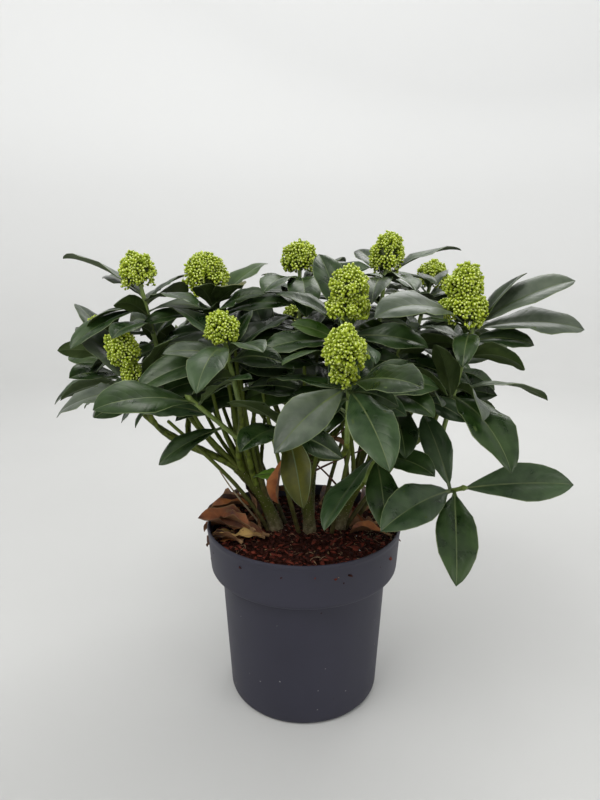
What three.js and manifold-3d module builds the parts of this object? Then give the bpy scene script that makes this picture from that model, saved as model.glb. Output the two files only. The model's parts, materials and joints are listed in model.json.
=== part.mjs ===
// A potted skimmia: a low evergreen shrub with glossy leaves in whorls and knobbly green
// panicles of unopened buds on its shoot tips, growing in a grey nursery pot with a deep collar.
//
// Units are millimetres and +Z is up. The origin is the centre of the pot's flat underside,
// +X is the plant's right and -Y its front. Each limb is one tapering solid, and each leafy
// shoot is one solid: a green twig that carries its whorls of leaves and its panicle.

import * as THREE from "three";
import { mergeVertices } from "three/addons/utils/BufferGeometryUtils.js";
import Module from "manifold-3d";

const wasm = await Module();
wasm.setup();

// ---------------------------------------------------------------- driving dimensions

const GAP = 0.3; // what a solid keeps to the one that it rests on or grows out of
const LEAF_CLEARANCE = 0.8; // what leaves of different shoots keep between them

const POT = {
  height: 158,
  rimRadius: 85,
  collarHeight: 40, // from the rim down to the collar's lower edge
  collarRadius: 82.5, // at that edge
  neckRadius: 73, // of the body, straight under the collar
  footRadius: 67,
  footRounding: 4,
  wall: 1.8,
  floor: 2.4,
  drainHoles: 8,
  drainHoleRadius: 4.5,
  drainCircle: 50,
  segments: 44,
};

const COMPOST = { level: 146, mound: 3, roughness: 2, segments: 24, rings: [64, 44, 22] };

// Stems rise from the compost, each from its foot by its bow to its top.
const STEM_FOOT = COMPOST.level - 3;
const ROOT_FLARE = 1.5; // how much wider a stem is at its foot
const STEMS = {
  left: { foot: [-22, 2], bow: [-32, -2, 186], top: [-58, -6, 208], radius: 6.6, tip: 4.2 },
  middle: { foot: [6, -4], bow: [3, -4, 190], top: [-4, -2, 224], radius: 5.8, tip: 3.8 },
  right: { foot: [30, 4], bow: [36, 2, 182], top: [60, -4, 210], radius: 6.2, tip: 4.0 },
  back: { foot: [4, 32], bow: [4, 44, 184], top: [14, 56, 220], radius: 6.2, tip: 4.0 },
};
const STEM = { sides: 8, steps: 7, flareShare: 0.09 }; // the flare dies away within that share
// springs: how much of a bough's reach it takes to bend into its line, at either end.
const BOUGH = { radius: 2.8, tip: 2.1, sides: 6, steps: 7, springs: 0.34 };
// bare and inPanicle: how far the twig goes on past the shoot's tip.
const TWIG = { radius: 2.0, tip: 1.7, sides: 5, bare: 2, inPanicle: 6 };
// seat: how far up a lobe's own height its middle stands off the tip.
const PANICLE = { seat: 0.42, knobs: 0.07 };

const LEAF = {
  widthShare: 0.34, // of its length
  thicknessShare: 0.015,
  fold: 0.15, // how far the edges rise over the midrib, as a share of the half width
  steps: 20, // of its midline
  stations: [3, 9, 15], // of those steps, where the solid has a ring
  petioleHalfWidth: 1.4,
  petioleShare: 0.06,
  lowestRise: -18,
  sweep: 16, // how far it may curve sideways, in degrees
  ownClearance: 0.2, // of blades on the same shoot
};

const GOLDEN_ANGLE = 137.508;
// The upper whorl stands up round the panicle, and the lower, older one spreads.
const WHORLS = [
  { below: 5, pitch: 2.2, open: 56, step: 5, share: 0.92, droop: 30, least: 36 },
  { pitch: 3.4, open: 76, step: 4, share: 1, droop: 26, least: 44 },
];
const CHANCE = { away: 7, length: 0.13, droop: 14, roll: 14 }; // how much leaves of a whorl vary
// Blades turn their faces some way from straight up to outward from the heart of the crown.
const FACING = { heart: [0, 90, 230], share: 0.7, most: 55 };
// A leaf that meets another is turned aside, raised or lowered and shortened, try by try.
const ASIDE = { tries: 7, turn: 9, tilt: 8, tiltsAfter: 2, shorter: 0.035 };

// Leafy shoots. tip: top of the green stem. lean: [azimuth, degrees from upright] of its axis.
// twig: length of its green stem. size: length of a full-grown leaf. turn: where round the axis
// the first leaf may stand. head: the panicle's lobes, each [width, height, azimuth, how far off
// the axis toward that, how far up it]. leaves: [number in the upper whorl, number in the lower,
// how far the lower one is below the tip]. limb: what the bough grows from, and how far along
// that. led: the leaves that shape the outline, each [whorl, azimuth, rise, droop, length,
// roll], round which the others fill in.
const SHOOTS = [
  { name: "left_top", tip: [-135, 10, 359], lean: [175, 12], twig: 60, size: 80, turn: 20,
    head: [[32, 34, 0, 0, 0]], leaves: [6, 6, 38], limb: ["left", 0.98], led: [
      [0, 155, 34, 28, 92, 22], [0, 130, 25, 25, 76, 0], [0, 320, 20, 40, 70, 0],
      [1, 255, 35, 60, 66, 0], [1, 80, 30, 30, 64, 0]] },
  { name: "left_inner", tip: [-78, 20, 348], lean: [165, 12], twig: 56, size: 80, turn: 70,
    head: [[38, 44, 0, 0, 4]], leaves: [6, 5, 34], limb: ["left", 0.8], led: [
      [0, 299, 30, 20, 68, 0], [0, 45, 50, 35, 74, 0], [0, 245, 40, 40, 62, 0]] },
  { name: "left_front", tip: [-60, -45, 323], lean: [235, 16], twig: 54, size: 80, turn: 140,
    head: [[28, 27, 0, 0, 0]], leaves: [6, 2, 34], limb: ["left", 0.9], led: [
      [0, 260, 15, 60, 76, 0], [0, 140, 40, 30, 70, 0], [0, 300, 30, 40, 64, 0]] },
  { name: "left_low", tip: [-134, -25, 286], lean: [193, 18], twig: 26, size: 80, turn: 30,
    head: [[27, 36, 0, 0, 15], [19, 22, 0, 0, 0]], leaves: [4, 0, 34], limb: ["left", 1], led: [
      [0, 155, 50, 25, 80, -24], [0, 330, 70, 40, 66, 0], [0, 175, 10, 50, 80, -22]] },
  { name: "left_back", tip: [-184, 62, 306], lean: [160, 26], twig: 52, size: 80, turn: 290,
    head: [[28, 30, 0, 0, 0]], leaves: [3, 3, 34], limb: ["left", 0.88], led: [
      [0, 135, 45, 25, 72, 0], [1, 245, 25, 30, 66, -20], [1, 155, 5, 35, 62, -20]] },
  { name: "middle_top", tip: [-4, 50, 369], lean: [95, 8], twig: 60, size: 80, turn: 300,
    head: [[35, 33, 0, 0, 0]], leaves: [6, 5, 36], limb: ["middle", 1], led: [
      [0, 275, 20, 80, 78, 0], [0, 245, 20, 45, 70, 0], [0, 50, 35, 35, 72, 0]] },
  { name: "middle_front", tip: [32, -40, 337], lean: [285, 10], twig: 58, size: 80, turn: 350,
    head: [[31, 32, 0, 0, 14], [36, 24, 0, 0, 2]], leaves: [6, 5, 36], limb: ["middle", 0.9], led: [
      [0, 115, 60, 20, 74, 0], [0, 145, 45, 40, 70, 0], [0, 40, 30, 50, 72, 0], [1, 225, 40, 60, 70, 0]] },
  { name: "front_top", tip: [31, -95, 305], lean: [268, 22], twig: 56, size: 80, turn: 35,
    head: [[31, 36, 180, 3, 8], [20, 22, 200, 4, -4]], leaves: [6, 2, 34], limb: ["middle", 0.78], led: [
      [0, 300, 25, 30, 78, 25], [0, 230, -5, 30, 82, -25], [0, 285, -5, 35, 84, 20],
      [0, 145, 15, 30, 74, 0], [1, 30, 10, 30, 84, 0]] },
  { name: "right_top", tip: [70, 35, 373], lean: [50, 10], twig: 60, size: 80, turn: 80,
    head: [[31, 44, 0, 0, -5]], leaves: [6, 5, 36], limb: ["right", 0.86], led: [
      [0, 110, 30, 15, 62, 0], [0, 15, 40, 40, 78, 0], [0, 255, 20, 60, 74, 0], [0, 285, 25, 50, 68, 0]] },
  { name: "right_back", tip: [120, 92, 356], lean: [40, 22], twig: 58, size: 80, turn: 125,
    head: [[30, 30, 0, 0, 0]], leaves: [6, 5, 36], limb: ["back", 1], led: [
      [0, 265, 40, 60, 72, 0]] },
  { name: "right_front", tip: [130, -36, 338], lean: [350, 12], twig: 100, size: 80, turn: 170,
    head: [[30, 36, 180, 15, 12], [39, 34, 180, 10, -5]], leaves: [5, 3, 58], limb: ["right", 0.98], led: [
      [0, 0, 38, 24, 84, 24], [0, 0, 16, 30, 88, 18], [0, 205, 46, 70, 94, -24], [0, 250, 20, 80, 52, 0],
      [0, 10, 60, 20, 66, 0], [1, 0, 24, 55, 78, 0], [1, 286, 4, 50, 94, 10], [1, 235, 70, 30, 62, 0]] },
  { name: "right_low", tip: [118, -72, 216], lean: [300, 62], twig: 44, size: 84, turn: 215,
    head: [], leaves: [4, 0, 34], limb: ["right", 0.72], led: [
      [0, 0, 10, 14, 90, 40], [0, 260, -15, 25, 84, 0], [0, 225, 10, 25, 88, -40],
      [0, 100, 56, 18, 72, -20]] },
  { name: "front_low", tip: [57, -58, 240], lean: [285, 40], twig: 44, size: 80, turn: 90,
    head: [], leaves: [4, 0, 30], limb: ["right", 0.55], led: [
      [0, 236, -10, 24, 84, 6], [0, 272, -12, 38, 70, 0], [0, 305, 25, 40, 64, 30]] },
  { name: "left_hanging", tip: [-84, -60, 281], lean: [225, 48], twig: 56, size: 80, turn: 305,
    head: [], leaves: [3, 1, 40], limb: ["left", 0.62], led: [
      [0, 230, 25, 32, 88, -30], [0, 320, 45, 35, 66, 0], [0, 130, 30, 30, 56, 0],
      [1, 175, -20, 25, 66, -35]] },
  { name: "middle_low", tip: [-16, -48, 258], lean: [250, 45], twig: 40, size: 72, turn: 150,
    head: [], leaves: [4, 0, 30], limb: ["middle", 0.6], led: [
      [0, 245, 20, 35, 70, -20], [0, 230, 45, 30, 72, 0], [0, 285, -30, 50, 68, 25],
      [0, 326, 7, 30, 62, 50]] },
  { name: "back_left", tip: [-92, 118, 305], lean: [125, 26], twig: 52, size: 80, turn: 350,
    head: [[32, 33, 0, 0, 0]], leaves: [7, 6, 34], limb: ["back", 0.9], led: [] },
  { name: "back_middle", tip: [-6, 136, 309], lean: [92, 22], twig: 52, size: 80, turn: 35,
    head: [[34, 37, 0, 0, 0]], leaves: [7, 6, 34], limb: ["back", 0.8], led: [] },
  { name: "back_right", tip: [76, 148, 290], lean: [62, 30], twig: 52, size: 80, turn: 80,
    head: [[30, 31, 0, 0, 0]], leaves: [7, 6, 34], limb: ["back", 0.7], led: [] },
  { name: "inner_left", tip: [-30, -2, 318], lean: [250, 10], twig: 44, size: 80, turn: 110,
    head: [], leaves: [6, 5, 34], limb: ["middle", 0.84], led: [] },
  { name: "inner_right", tip: [78, -12, 316], lean: [320, 12], twig: 50, size: 80, turn: 160,
    head: [], leaves: [6, 5, 34], limb: ["right", 0.92], led: [] },
  { name: "inner_back", tip: [34, 88, 322], lean: [80, 12], twig: 44, size: 80, turn: 210,
    head: [], leaves: [6, 4, 30], limb: ["back", 0.96], led: [] },
  { name: "outer_left", tip: [-120, 76, 314], lean: [140, 20], twig: 44, size: 80, turn: 60,
    head: [], leaves: [6, 4, 30], limb: ["left_back", 0.4], led: [] },
  { name: "outer_right", tip: [130, 46, 292], lean: [60, 24], twig: 44, size: 68, turn: 330,
    head: [], leaves: [4, 1, 30], limb: ["right", 0.66], led: [] },
];

// Dead leaves on the compost, curled as they dried: where the stalk lies, then as a leaf's.
const FALLEN = { sweep: 30, dropped: 16, steps: [2, 0.5, 0.05] };
const FALLEN_LEAVES = [
  { at: [-30, -16], azimuth: 174, rise: 14, droop: 6, length: 66, roll: -15 },
  { at: [-40, 26], azimuth: 208, rise: 30, droop: 52, length: 54, roll: -35 },
  { at: [-42, -30], azimuth: 150, rise: 32, droop: 64, length: 42, roll: 10 },
  { at: [-44, 8], azimuth: 190, rise: 30, droop: 80, length: 46, roll: 0 },
  { at: [76, -16], azimuth: 170, rise: 26, droop: 52, length: 38, roll: -10 },
  { at: [52, 34], azimuth: 60, rise: 20, droop: 44, length: 46, roll: 12 },
];

// ---------------------------------------------------------------- numbers and vectors

const RADIANS = Math.PI / 180;
const vector = (x, y, z) => new THREE.Vector3(x, y, z);
const clamp = THREE.MathUtils.clamp;
const mix = THREE.MathUtils.lerp;

// A repeatable number from 0 to 1 for any list of whole numbers.
function chance(...keys) {
  let h = 2166136261;
  for (const key of keys) h = Math.imul(h ^ key, 16777619);
  h ^= h >>> 15;
  h = Math.imul(h, 2246822507);
  h ^= h >>> 13;
  return (h >>> 0) / 4294967296;
}

const spread = (range, ...keys) => range * (2 * chance(...keys) - 1);

// The unit vector at an azimuth from +X and a rise over the level, in degrees.
function heading(azimuth, rise) {
  const level = Math.cos(rise * RADIANS);
  return vector(
    level * Math.cos(azimuth * RADIANS),
    level * Math.sin(azimuth * RADIANS),
    Math.sin(rise * RADIANS),
  );
}

// Two unit vectors square to an axis and to each other.
function across(axis) {
  const u = vector(1, 0, 0).addScaledVector(axis, -axis.x).normalize();
  return [u, axis.clone().cross(u)];
}

// ---------------------------------------------------------------- solids

function solidOf(points, triangles) {
  const positions = points.flatMap((point) => point.toArray());
  return new wasm.Manifold(new wasm.Mesh({
    numProp: 3,
    vertProperties: new Float32Array(positions),
    triVerts: new Uint32Array(triangles),
  }));
}

function solidFrom(geometry) {
  geometry.deleteAttribute("normal");
  geometry.deleteAttribute("uv");
  const merged = mergeVertices(geometry, 1e-4);
  return new wasm.Manifold(new wasm.Mesh({
    numProp: 3,
    vertProperties: merged.attributes.position.array,
    triVerts: merged.index.array,
  }));
}

// A closed solid skinned over rings of points, drawn in to a point at either end. The rings
// turn counterclockwise as seen from the end.
function skin(start, rings, end) {
  const sides = rings[0].length;
  const at = (ring, side) => 1 + ring * sides + (side % sides);
  const last = 1 + rings.length * sides;
  const triangles = [];
  for (let side = 0; side < sides; side++) {
    triangles.push(0, at(0, side + 1), at(0, side));
    for (let ring = 1; ring < rings.length; ring++) {
      triangles.push(at(ring - 1, side), at(ring - 1, side + 1), at(ring, side + 1));
      triangles.push(at(ring - 1, side), at(ring, side + 1), at(ring, side));
    }
    triangles.push(last, at(rings.length - 1, side), at(rings.length - 1, side + 1));
  }
  return solidOf([start, ...rings.flat(), end], triangles);
}

// A ring of points round a centre, in the plane of two vectors.
function ringOf(centre, u, v, radius, sides) {
  return Array.from({ length: sides }, (_, side) => {
    const turn = (2 * Math.PI * side) / sides;
    return centre.clone()
      .addScaledVector(u, radius * Math.cos(turn))
      .addScaledVector(v, radius * Math.sin(turn));
  });
}

function largestPiece(solid) {
  const pieces = solid.decompose();
  return pieces.reduce((best, piece) => (piece.volume() > best.volume() ? piece : best));
}

// ---------------------------------------------------------------- pot and compost

function potSolid() {
  const { height, rimRadius, collarRadius, neckRadius, footRadius, footRounding, wall, floor } = POT;
  const ledge = height - POT.collarHeight;
  const profile = [
    [0, 0],
    [footRadius - footRounding, 0],
    [footRadius, footRounding],
    [neckRadius, ledge],
    [collarRadius - 1.5, ledge],
    [collarRadius, ledge + 1.5],
    [rimRadius, height - 1],
    [rimRadius - 0.6, height],
    [rimRadius - wall, height],
    [collarRadius - wall, ledge + wall + 3],
    [neckRadius - wall, ledge - 3],
    [footRadius - wall, footRounding + wall],
    [footRadius - footRounding - wall, floor],
    [0, floor],
  ].map(([radius, z]) => new THREE.Vector2(radius, z));
  const shell = new THREE.LatheGeometry(profile, POT.segments)
    .rotateX(Math.PI / 2)
    .rotateZ(Math.PI / POT.segments);
  let pot = solidFrom(shell);
  for (let hole = 0; hole < POT.drainHoles; hole++) {
    const turn = (2 * Math.PI * (hole + 0.5)) / POT.drainHoles;
    const drill = new THREE.CylinderGeometry(POT.drainHoleRadius, POT.drainHoleRadius, 4 * floor, 10)
      .rotateX(Math.PI / 2)
      .translate(POT.drainCircle * Math.cos(turn), POT.drainCircle * Math.sin(turn), 0);
    pot = pot.subtract(solidFrom(drill));
  }
  return pot;
}

// The compost fills the pot and is heaped a little round the stems.
function compostHeight(radius, side, ring) {
  const share = radius / POT.rimRadius;
  return COMPOST.level + COMPOST.mound * (1 - share * share) + spread(COMPOST.roughness, ring, side);
}

function compostSolid() {
  const { collarRadius, neckRadius, footRadius, footRounding, wall, floor } = POT;
  const ledge = POT.height - POT.collarHeight;
  const slope = (POT.rimRadius - collarRadius) / POT.collarHeight;
  const edge = collarRadius + slope * (COMPOST.level - ledge);
  const level = (radius, z) => ringOf(vector(0, 0, z), vector(1, 0, 0), vector(0, 1, 0),
    radius - wall - GAP, COMPOST.segments);
  const uneven = (radius, ring) => ringOf(vector(0, 0, 0), vector(1, 0, 0), vector(0, 1, 0),
    radius, COMPOST.segments).map((point, side) => point.setZ(compostHeight(radius, side, ring)));
  const rings = [
    level(footRadius - footRounding, floor + GAP),
    level(footRadius, footRounding + wall + GAP),
    level(neckRadius, ledge - 3 + GAP),
    level(collarRadius - 0.5, ledge + wall + 3 + 2 * GAP),
    level(edge - 1.2, COMPOST.level - 1),
    ...COMPOST.rings.map(uneven),
  ];
  const top = vector(0, 0, compostHeight(0, 0, COMPOST.rings.length));
  return skin(vector(0, 0, floor + GAP), rings, top);
}

// ---------------------------------------------------------------- stems and boughs

// A limb is a curve with a radius at each share of its length.
function stemLimb({ foot, bow, top, radius, tip }) {
  const start = vector(foot[0], foot[1], STEM_FOOT - radius);
  const curve = new THREE.QuadraticBezierCurve3(start, vector(...bow), vector(...top));
  const flare = (share) => 1 + (ROOT_FLARE - 1) * Math.exp(-share / STEM.flareShare);
  const width = (share) => mix(radius, tip, share) * flare(share);
  return { curve, radius: width, sides: STEM.sides, steps: STEM.steps };
}

function shootAxis({ lean }) {
  return heading(lean[0], 90 - lean[1]);
}

// A bough springs from its parent the way that one heads, and comes to the shoot along its axis.
function boughLimb(shoot, parent, along) {
  const start = parent.curve.getPointAt(along);
  const axis = shootAxis(shoot);
  const end = vector(...shoot.tip).addScaledVector(axis, -shoot.twig);
  const reach = BOUGH.springs * start.distanceTo(end);
  const out = end.clone().sub(start).normalize();
  const leave = parent.curve.getTangentAt(along).add(out).normalize();
  const curve = new THREE.CubicBezierCurve3(
    start,
    start.clone().addScaledVector(leave, reach),
    end.clone().addScaledVector(axis, -reach),
    end,
  );
  const width = (share) => mix(BOUGH.radius, BOUGH.tip, share);
  return { curve, radius: width, sides: BOUGH.sides, steps: BOUGH.steps };
}

function limbSolid({ curve, radius, sides, steps }, grown = 0) {
  const { normals, binormals } = curve.computeFrenetFrames(steps);
  const rings = normals.map((normal, step) => ringOf(curve.getPointAt(step / steps),
    normal, binormals[step], radius(step / steps) + grown, sides));
  return skin(curve.getPoint(0), rings, curve.getPoint(1));
}

function stemSolid(limb, grown = 0) {
  return limbSolid(limb, grown).trimByPlane([0, 0, 1], STEM_FOOT - grown);
}

// ---------------------------------------------------------------- leaves

// The midline leaves the twig at its azimuth and rise, and droops and sweeps evenly along it.
function midline({ root, azimuth, rise, droop, sweep, length }) {
  const points = [root.clone()];
  const directions = [];
  for (let step = 0; step < LEAF.steps; step++) {
    const share = (step + 0.5) / LEAF.steps;
    const direction = heading(azimuth + sweep * share, rise - droop * share);
    directions.push(direction);
    points.push(points[step].clone().addScaledVector(direction, length / LEAF.steps));
  }
  return { points, directions };
}

// Half the blade's width at a share of its length: an ellipse with drawn-out ends, widest
// just past the middle, on a short stalk.
function halfWidth(leaf, share) {
  const blade = clamp((share - LEAF.petioleShare) / (1 - LEAF.petioleShare), 0, 1);
  const outline = Math.sin(Math.PI * blade ** 1.12) ** 0.85;
  return Math.max(0.5 * LEAF.widthShare * leaf.length * outline, LEAF.petioleHalfWidth * (1 - share));
}

function leafRing(leaf, line, step) {
  const point = line.points[step];
  const forward = line.directions[step];
  const turned = leaf.azimuth + leaf.sweep * (step / LEAF.steps) - 90;
  const side = heading(turned, 0).applyAxisAngle(forward, leaf.roll * RADIANS);
  const up = side.clone().cross(forward);
  const half = halfWidth(leaf, step / LEAF.steps);
  const thick = 0.5 * LEAF.thicknessShare * leaf.length;
  const edge = LEAF.fold * half;
  const place = (sideways, upward) => point.clone()
    .addScaledVector(side, sideways)
    .addScaledVector(up, upward);
  return [place(half, edge), place(0, -thick), place(-half, edge), place(0, thick)];
}

function leafSolid(leaf, firstStation = 0) {
  const line = midline(leaf);
  const rings = LEAF.stations.slice(firstStation).map((step) => leafRing(leaf, line, step));
  const start = firstStation ? line.points[LEAF.stations[firstStation - 1]] : leaf.root;
  return skin(start, rings, line.points[LEAF.steps]);
}

// A leaf with all its angles in degrees, drooping, swept and rolled as chance has it.
function leafFrom(root, azimuth, rise, droop, length, roll, ...keys) {
  return { root, azimuth, rise: Math.max(rise, LEAF.lowestRise), droop, length, roll,
    sweep: spread(LEAF.sweep, ...keys, 1) };
}

// The leaf turned aside for a further try, to one side and the other by turns.
function turnedAside(leaf, tries) {
  const side = tries % 2 ? 1 : -1;
  return {
    ...leaf,
    azimuth: leaf.azimuth + ASIDE.turn * side * Math.ceil(tries / 2),
    rise: Math.max(leaf.rise + (tries > ASIDE.tiltsAfter ? ASIDE.tilt : 0) * side, LEAF.lowestRise),
    length: leaf.length * (1 - ASIDE.shorter * tries),
  };
}

// ---------------------------------------------------------------- shoots

// The angle round a shoot's axis at which a direction leaves it, in degrees.
function turnAbout(axis, direction) {
  const [u, v] = across(axis);
  return Math.atan2(direction.dot(v), direction.dot(u)) / RADIANS;
}

const turnBetween = (a, b) => Math.abs(THREE.MathUtils.euclideanModulo(a - b + 180, 360) - 180);

// The roll that turns a blade's face outward from the crown, as far as it does, in degrees.
function facingRoll(root, azimuth, rise) {
  const side = heading(azimuth - 90, 0);
  const up = side.clone().cross(heading(azimuth, rise));
  const out = root.clone().sub(vector(...FACING.heart));
  const fully = Math.atan2(out.dot(side), out.dot(up)) / RADIANS;
  return clamp(fully * FACING.share, -FACING.most, FACING.most);
}

// One whorl's leaves: the led ones, then others by the golden angle wherever there is room.
function whorlLeaves(shoot, number, tier) {
  const { pitch, open, step, share, droop, least } = WHORLS[tier];
  const below = tier ? shoot.leaves[2] : WHORLS[0].below;
  const axis = shootAxis(shoot);
  const [u, v] = across(axis);
  const rootOf = (place) => vector(...shoot.tip).addScaledVector(axis, -below - pitch * place);
  const leaves = [];
  const turns = [];
  for (const [whorl, azimuth, rise, sag, length, roll] of shoot.led) {
    if (whorl !== tier) continue;
    const leaf = leafFrom(rootOf(leaves.length), azimuth, rise, sag, length, roll);
    leaves.push({ ...leaf, sweep: 0 });
    turns.push(turnAbout(axis, heading(azimuth, rise)));
  }
  for (let place = 0; place < 16 && leaves.length < shoot.leaves[tier]; place++) {
    const turn = shoot.turn + 60 * tier + GOLDEN_ANGLE * place;
    if (turns.some((other) => turnBetween(turn, other) < least)) continue;
    const away = (open + step * leaves.length + spread(CHANCE.away, number, tier, place)) * RADIANS;
    const out = u.clone()
      .multiplyScalar(Math.cos(turn * RADIANS))
      .addScaledVector(v, Math.sin(turn * RADIANS));
    const direction = axis.clone().multiplyScalar(Math.cos(away)).addScaledVector(out, Math.sin(away));
    const azimuth = Math.atan2(direction.y, direction.x) / RADIANS;
    const rise = Math.asin(direction.z) / RADIANS;
    const length = shoot.size * share * (1 + spread(CHANCE.length, number, tier, place, 2));
    const sag = droop + spread(CHANCE.droop, number, tier, place, 3);
    const root = rootOf(leaves.length);
    const roll = facingRoll(root, azimuth, rise) + spread(CHANCE.roll, number, tier, place, 4);
    leaves.push(leafFrom(root, azimuth, rise, sag, length, roll, number, tier, place));
    turns.push(turn);
  }
  return leaves;
}

function twigSolid(shoot) {
  const axis = shootAxis(shoot);
  const [u, v] = across(axis);
  const top = vector(...shoot.tip).addScaledVector(axis, shoot.head.length ? TWIG.inPanicle : TWIG.bare);
  const foot = vector(...shoot.tip).addScaledVector(axis, GAP - shoot.twig);
  const rings = [ringOf(foot, u, v, TWIG.radius, TWIG.sides), ringOf(top, u, v, TWIG.tip, TWIG.sides)];
  return skin(foot, rings, top);
}

// One lobe of a panicle: an egg of close-set buds, so its surface is knobbly.
function lobeSolid(shoot, number, [width, height, azimuth, aside, up], lobe) {
  const egg = new THREE.IcosahedronGeometry(1, 1);
  egg.deleteAttribute("normal");
  egg.deleteAttribute("uv");
  const ball = mergeVertices(egg, 1e-4);
  const axis = shootAxis(shoot);
  const centre = vector(...shoot.tip)
    .addScaledVector(axis, PANICLE.seat * height + up)
    .addScaledVector(heading(azimuth, 0), aside);
  const upright = new THREE.Quaternion().setFromUnitVectors(vector(0, 0, 1), axis);
  const position = ball.attributes.position;
  for (let index = 0; index < position.count; index++) {
    const point = vector(0, 0, 0).fromBufferAttribute(position, index);
    point.multiplyScalar(1 + spread(PANICLE.knobs, number, lobe, index, 5));
    point.multiply(vector(width / 2, width / 2, height / 2)).applyQuaternion(upright).add(centre);
    position.setXYZ(index, ...point.toArray());
  }
  return solidFrom(ball);
}

// ---------------------------------------------------------------- growing and settling

// What has grown so far: limbs, twigs, panicles and leaves, each with its owner and its box.
const grown = [];

function record(owner, solid) {
  grown.push({ owner, solid, box: solid.boundingBox() });
}

function boxesNear(a, b, distance) {
  const near = (axis) => a.min[axis] - distance < b.max[axis] && b.min[axis] - distance < a.max[axis];
  return [0, 1, 2].every(near);
}

function isClear(solid, distance, counts) {
  const box = solid.boundingBox();
  return grown.every((other) => !counts(other) || !boxesNear(box, other.box, distance)
    || solid.minGap(other.solid, distance + 1) > distance);
}

// Grows a leaf, or turns it aside until it is clear of everything else and its blade, unless
// it is a led one, is clear of its own shoot's blades and panicle. Returns nothing where it
// has no room.
function growLeaf(leaf, owner, led) {
  for (let tries = 0; tries < ASIDE.tries; tries++) {
    const tried = tries ? turnedAside(leaf, tries) : leaf;
    const solid = leafSolid(tried);
    const blade = leafSolid(tried, 1);
    const clearOfOthers = isClear(solid, LEAF_CLEARANCE, (other) => !other.owner.startsWith(owner));
    const ownBlades = (other) => other.owner === `${owner} blade`;
    const clearOfOwn = led || isClear(blade, LEAF.ownClearance, ownBlades);
    if (clearOfOthers && clearOfOwn) {
      record(owner, solid);
      record(`${owner} blade`, blade);
      return solid;
    }
  }
  return null;
}

function fallenLeafSolid({ at, azimuth, rise, droop, length, roll }, number, resting) {
  const root = vector(at[0], at[1], POT.height + FALLEN.dropped);
  const sweep = spread(FALLEN.sweep, number);
  const solid = leafSolid({ root, azimuth, rise, droop, sweep, length, roll });
  const clearAt = (z) => resting.every((other) => solid.translate(0, 0, z).minGap(other, 1) > GAP);
  let height = 0;
  for (const step of FALLEN.steps) {
    while (clearAt(height - step)) height -= step;
  }
  return solid.translate(0, 0, height);
}

// ---------------------------------------------------------------- the plant in its pot

const finish = (color, roughness) => new THREE.MeshStandardMaterial({ color, roughness, metalness: 0 });
const potFinish = finish(0x4a4e59, 0.6);
const compostFinish = finish(0x3b2119, 0.95);
const barkFinish = finish(0x6b6a44, 0.8);
const boughFinish = finish(0x7d9440, 0.6);
const leafFinish = finish(0x2f4a2c, 0.4);
const deadLeafFinish = finish(0x8a4f28, 0.75);

const plant = new THREE.Group();

function add(name, solid, material) {
  const { vertProperties, triVerts } = solid.getMesh();
  const geometry = new THREE.BufferGeometry();
  geometry.setAttribute("position", new THREE.BufferAttribute(vertProperties, 3));
  geometry.setIndex(new THREE.BufferAttribute(triVerts, 1));
  geometry.computeVertexNormals();
  const mesh = new THREE.Mesh(geometry, material);
  mesh.name = name;
  plant.add(mesh);
}

const pot = potSolid();
add("pot", pot, potFinish);

const limbs = {};
let compost = compostSolid();
for (const [name, sizes] of Object.entries(STEMS)) {
  limbs[name] = stemLimb(sizes);
  const stem = stemSolid(limbs[name]);
  compost = compost.subtract(stemSolid(limbs[name], GAP));
  record("limb", stem);
  add(`stem_${name}`, stem, barkFinish);
}
compost = largestPiece(compost);
add("compost", compost, compostFinish);

// Each bough is cut 0.3 mm clear of the stems and of the boughs that it runs past at a fork.
const around = Object.values(limbs).map((limb) => limbSolid(limb, GAP));
for (const shoot of SHOOTS) {
  const [parent, along] = shoot.limb;
  const limb = boughLimb(shoot, limbs[parent], along);
  const bough = largestPiece(limbSolid(limb).subtract(wasm.Manifold.union(around)));
  limbs[shoot.name] = limb;
  around.push(limbSolid(limb, GAP));
  record("limb", bough);
  add(`bough_${shoot.name}`, bough, boughFinish);
}

const masses = SHOOTS.map((shoot, number) => {
  const twig = twigSolid(shoot);
  const lobes = shoot.head.map((lobe, index) => lobeSolid(shoot, number, lobe, index));
  record(shoot.name, twig);
  lobes.forEach((lobe) => record(`${shoot.name} blade`, lobe));
  return [twig, ...lobes];
});
for (const led of [true, false]) {
  SHOOTS.forEach((shoot, number) => {
    for (const tier of [0, 1]) {
      const ledCount = shoot.led.filter(([whorl]) => whorl === tier).length;
      const leaves = whorlLeaves(shoot, number, tier);
      for (const leaf of led ? leaves.slice(0, ledCount) : leaves.slice(ledCount)) {
        const solid = growLeaf(leaf, shoot.name, led);
        if (solid) masses[number].push(solid);
      }
    }
  });
}
SHOOTS.forEach((shoot, number) => {
  add(`foliage_${shoot.name}`, largestPiece(wasm.Manifold.union(masses[number])), leafFinish);
});

const whole = grown.filter(({ owner }) => !owner.endsWith("blade"));
const resting = [pot, compost, ...whole.map(({ solid }) => solid)];
FALLEN_LEAVES.forEach((leaf, number) => {
  const solid = fallenLeafSolid(leaf, number, resting);
  resting.push(solid);
  add(`fallen_leaf_${number + 1}`, solid, deadLeafFinish);
});

export default plant;
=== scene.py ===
import json
import math

import bmesh
import bpy
import numpy as np
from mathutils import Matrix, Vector, noise
from mathutils.bvhtree import BVHTree
from mathutils.kdtree import KDTree

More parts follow.
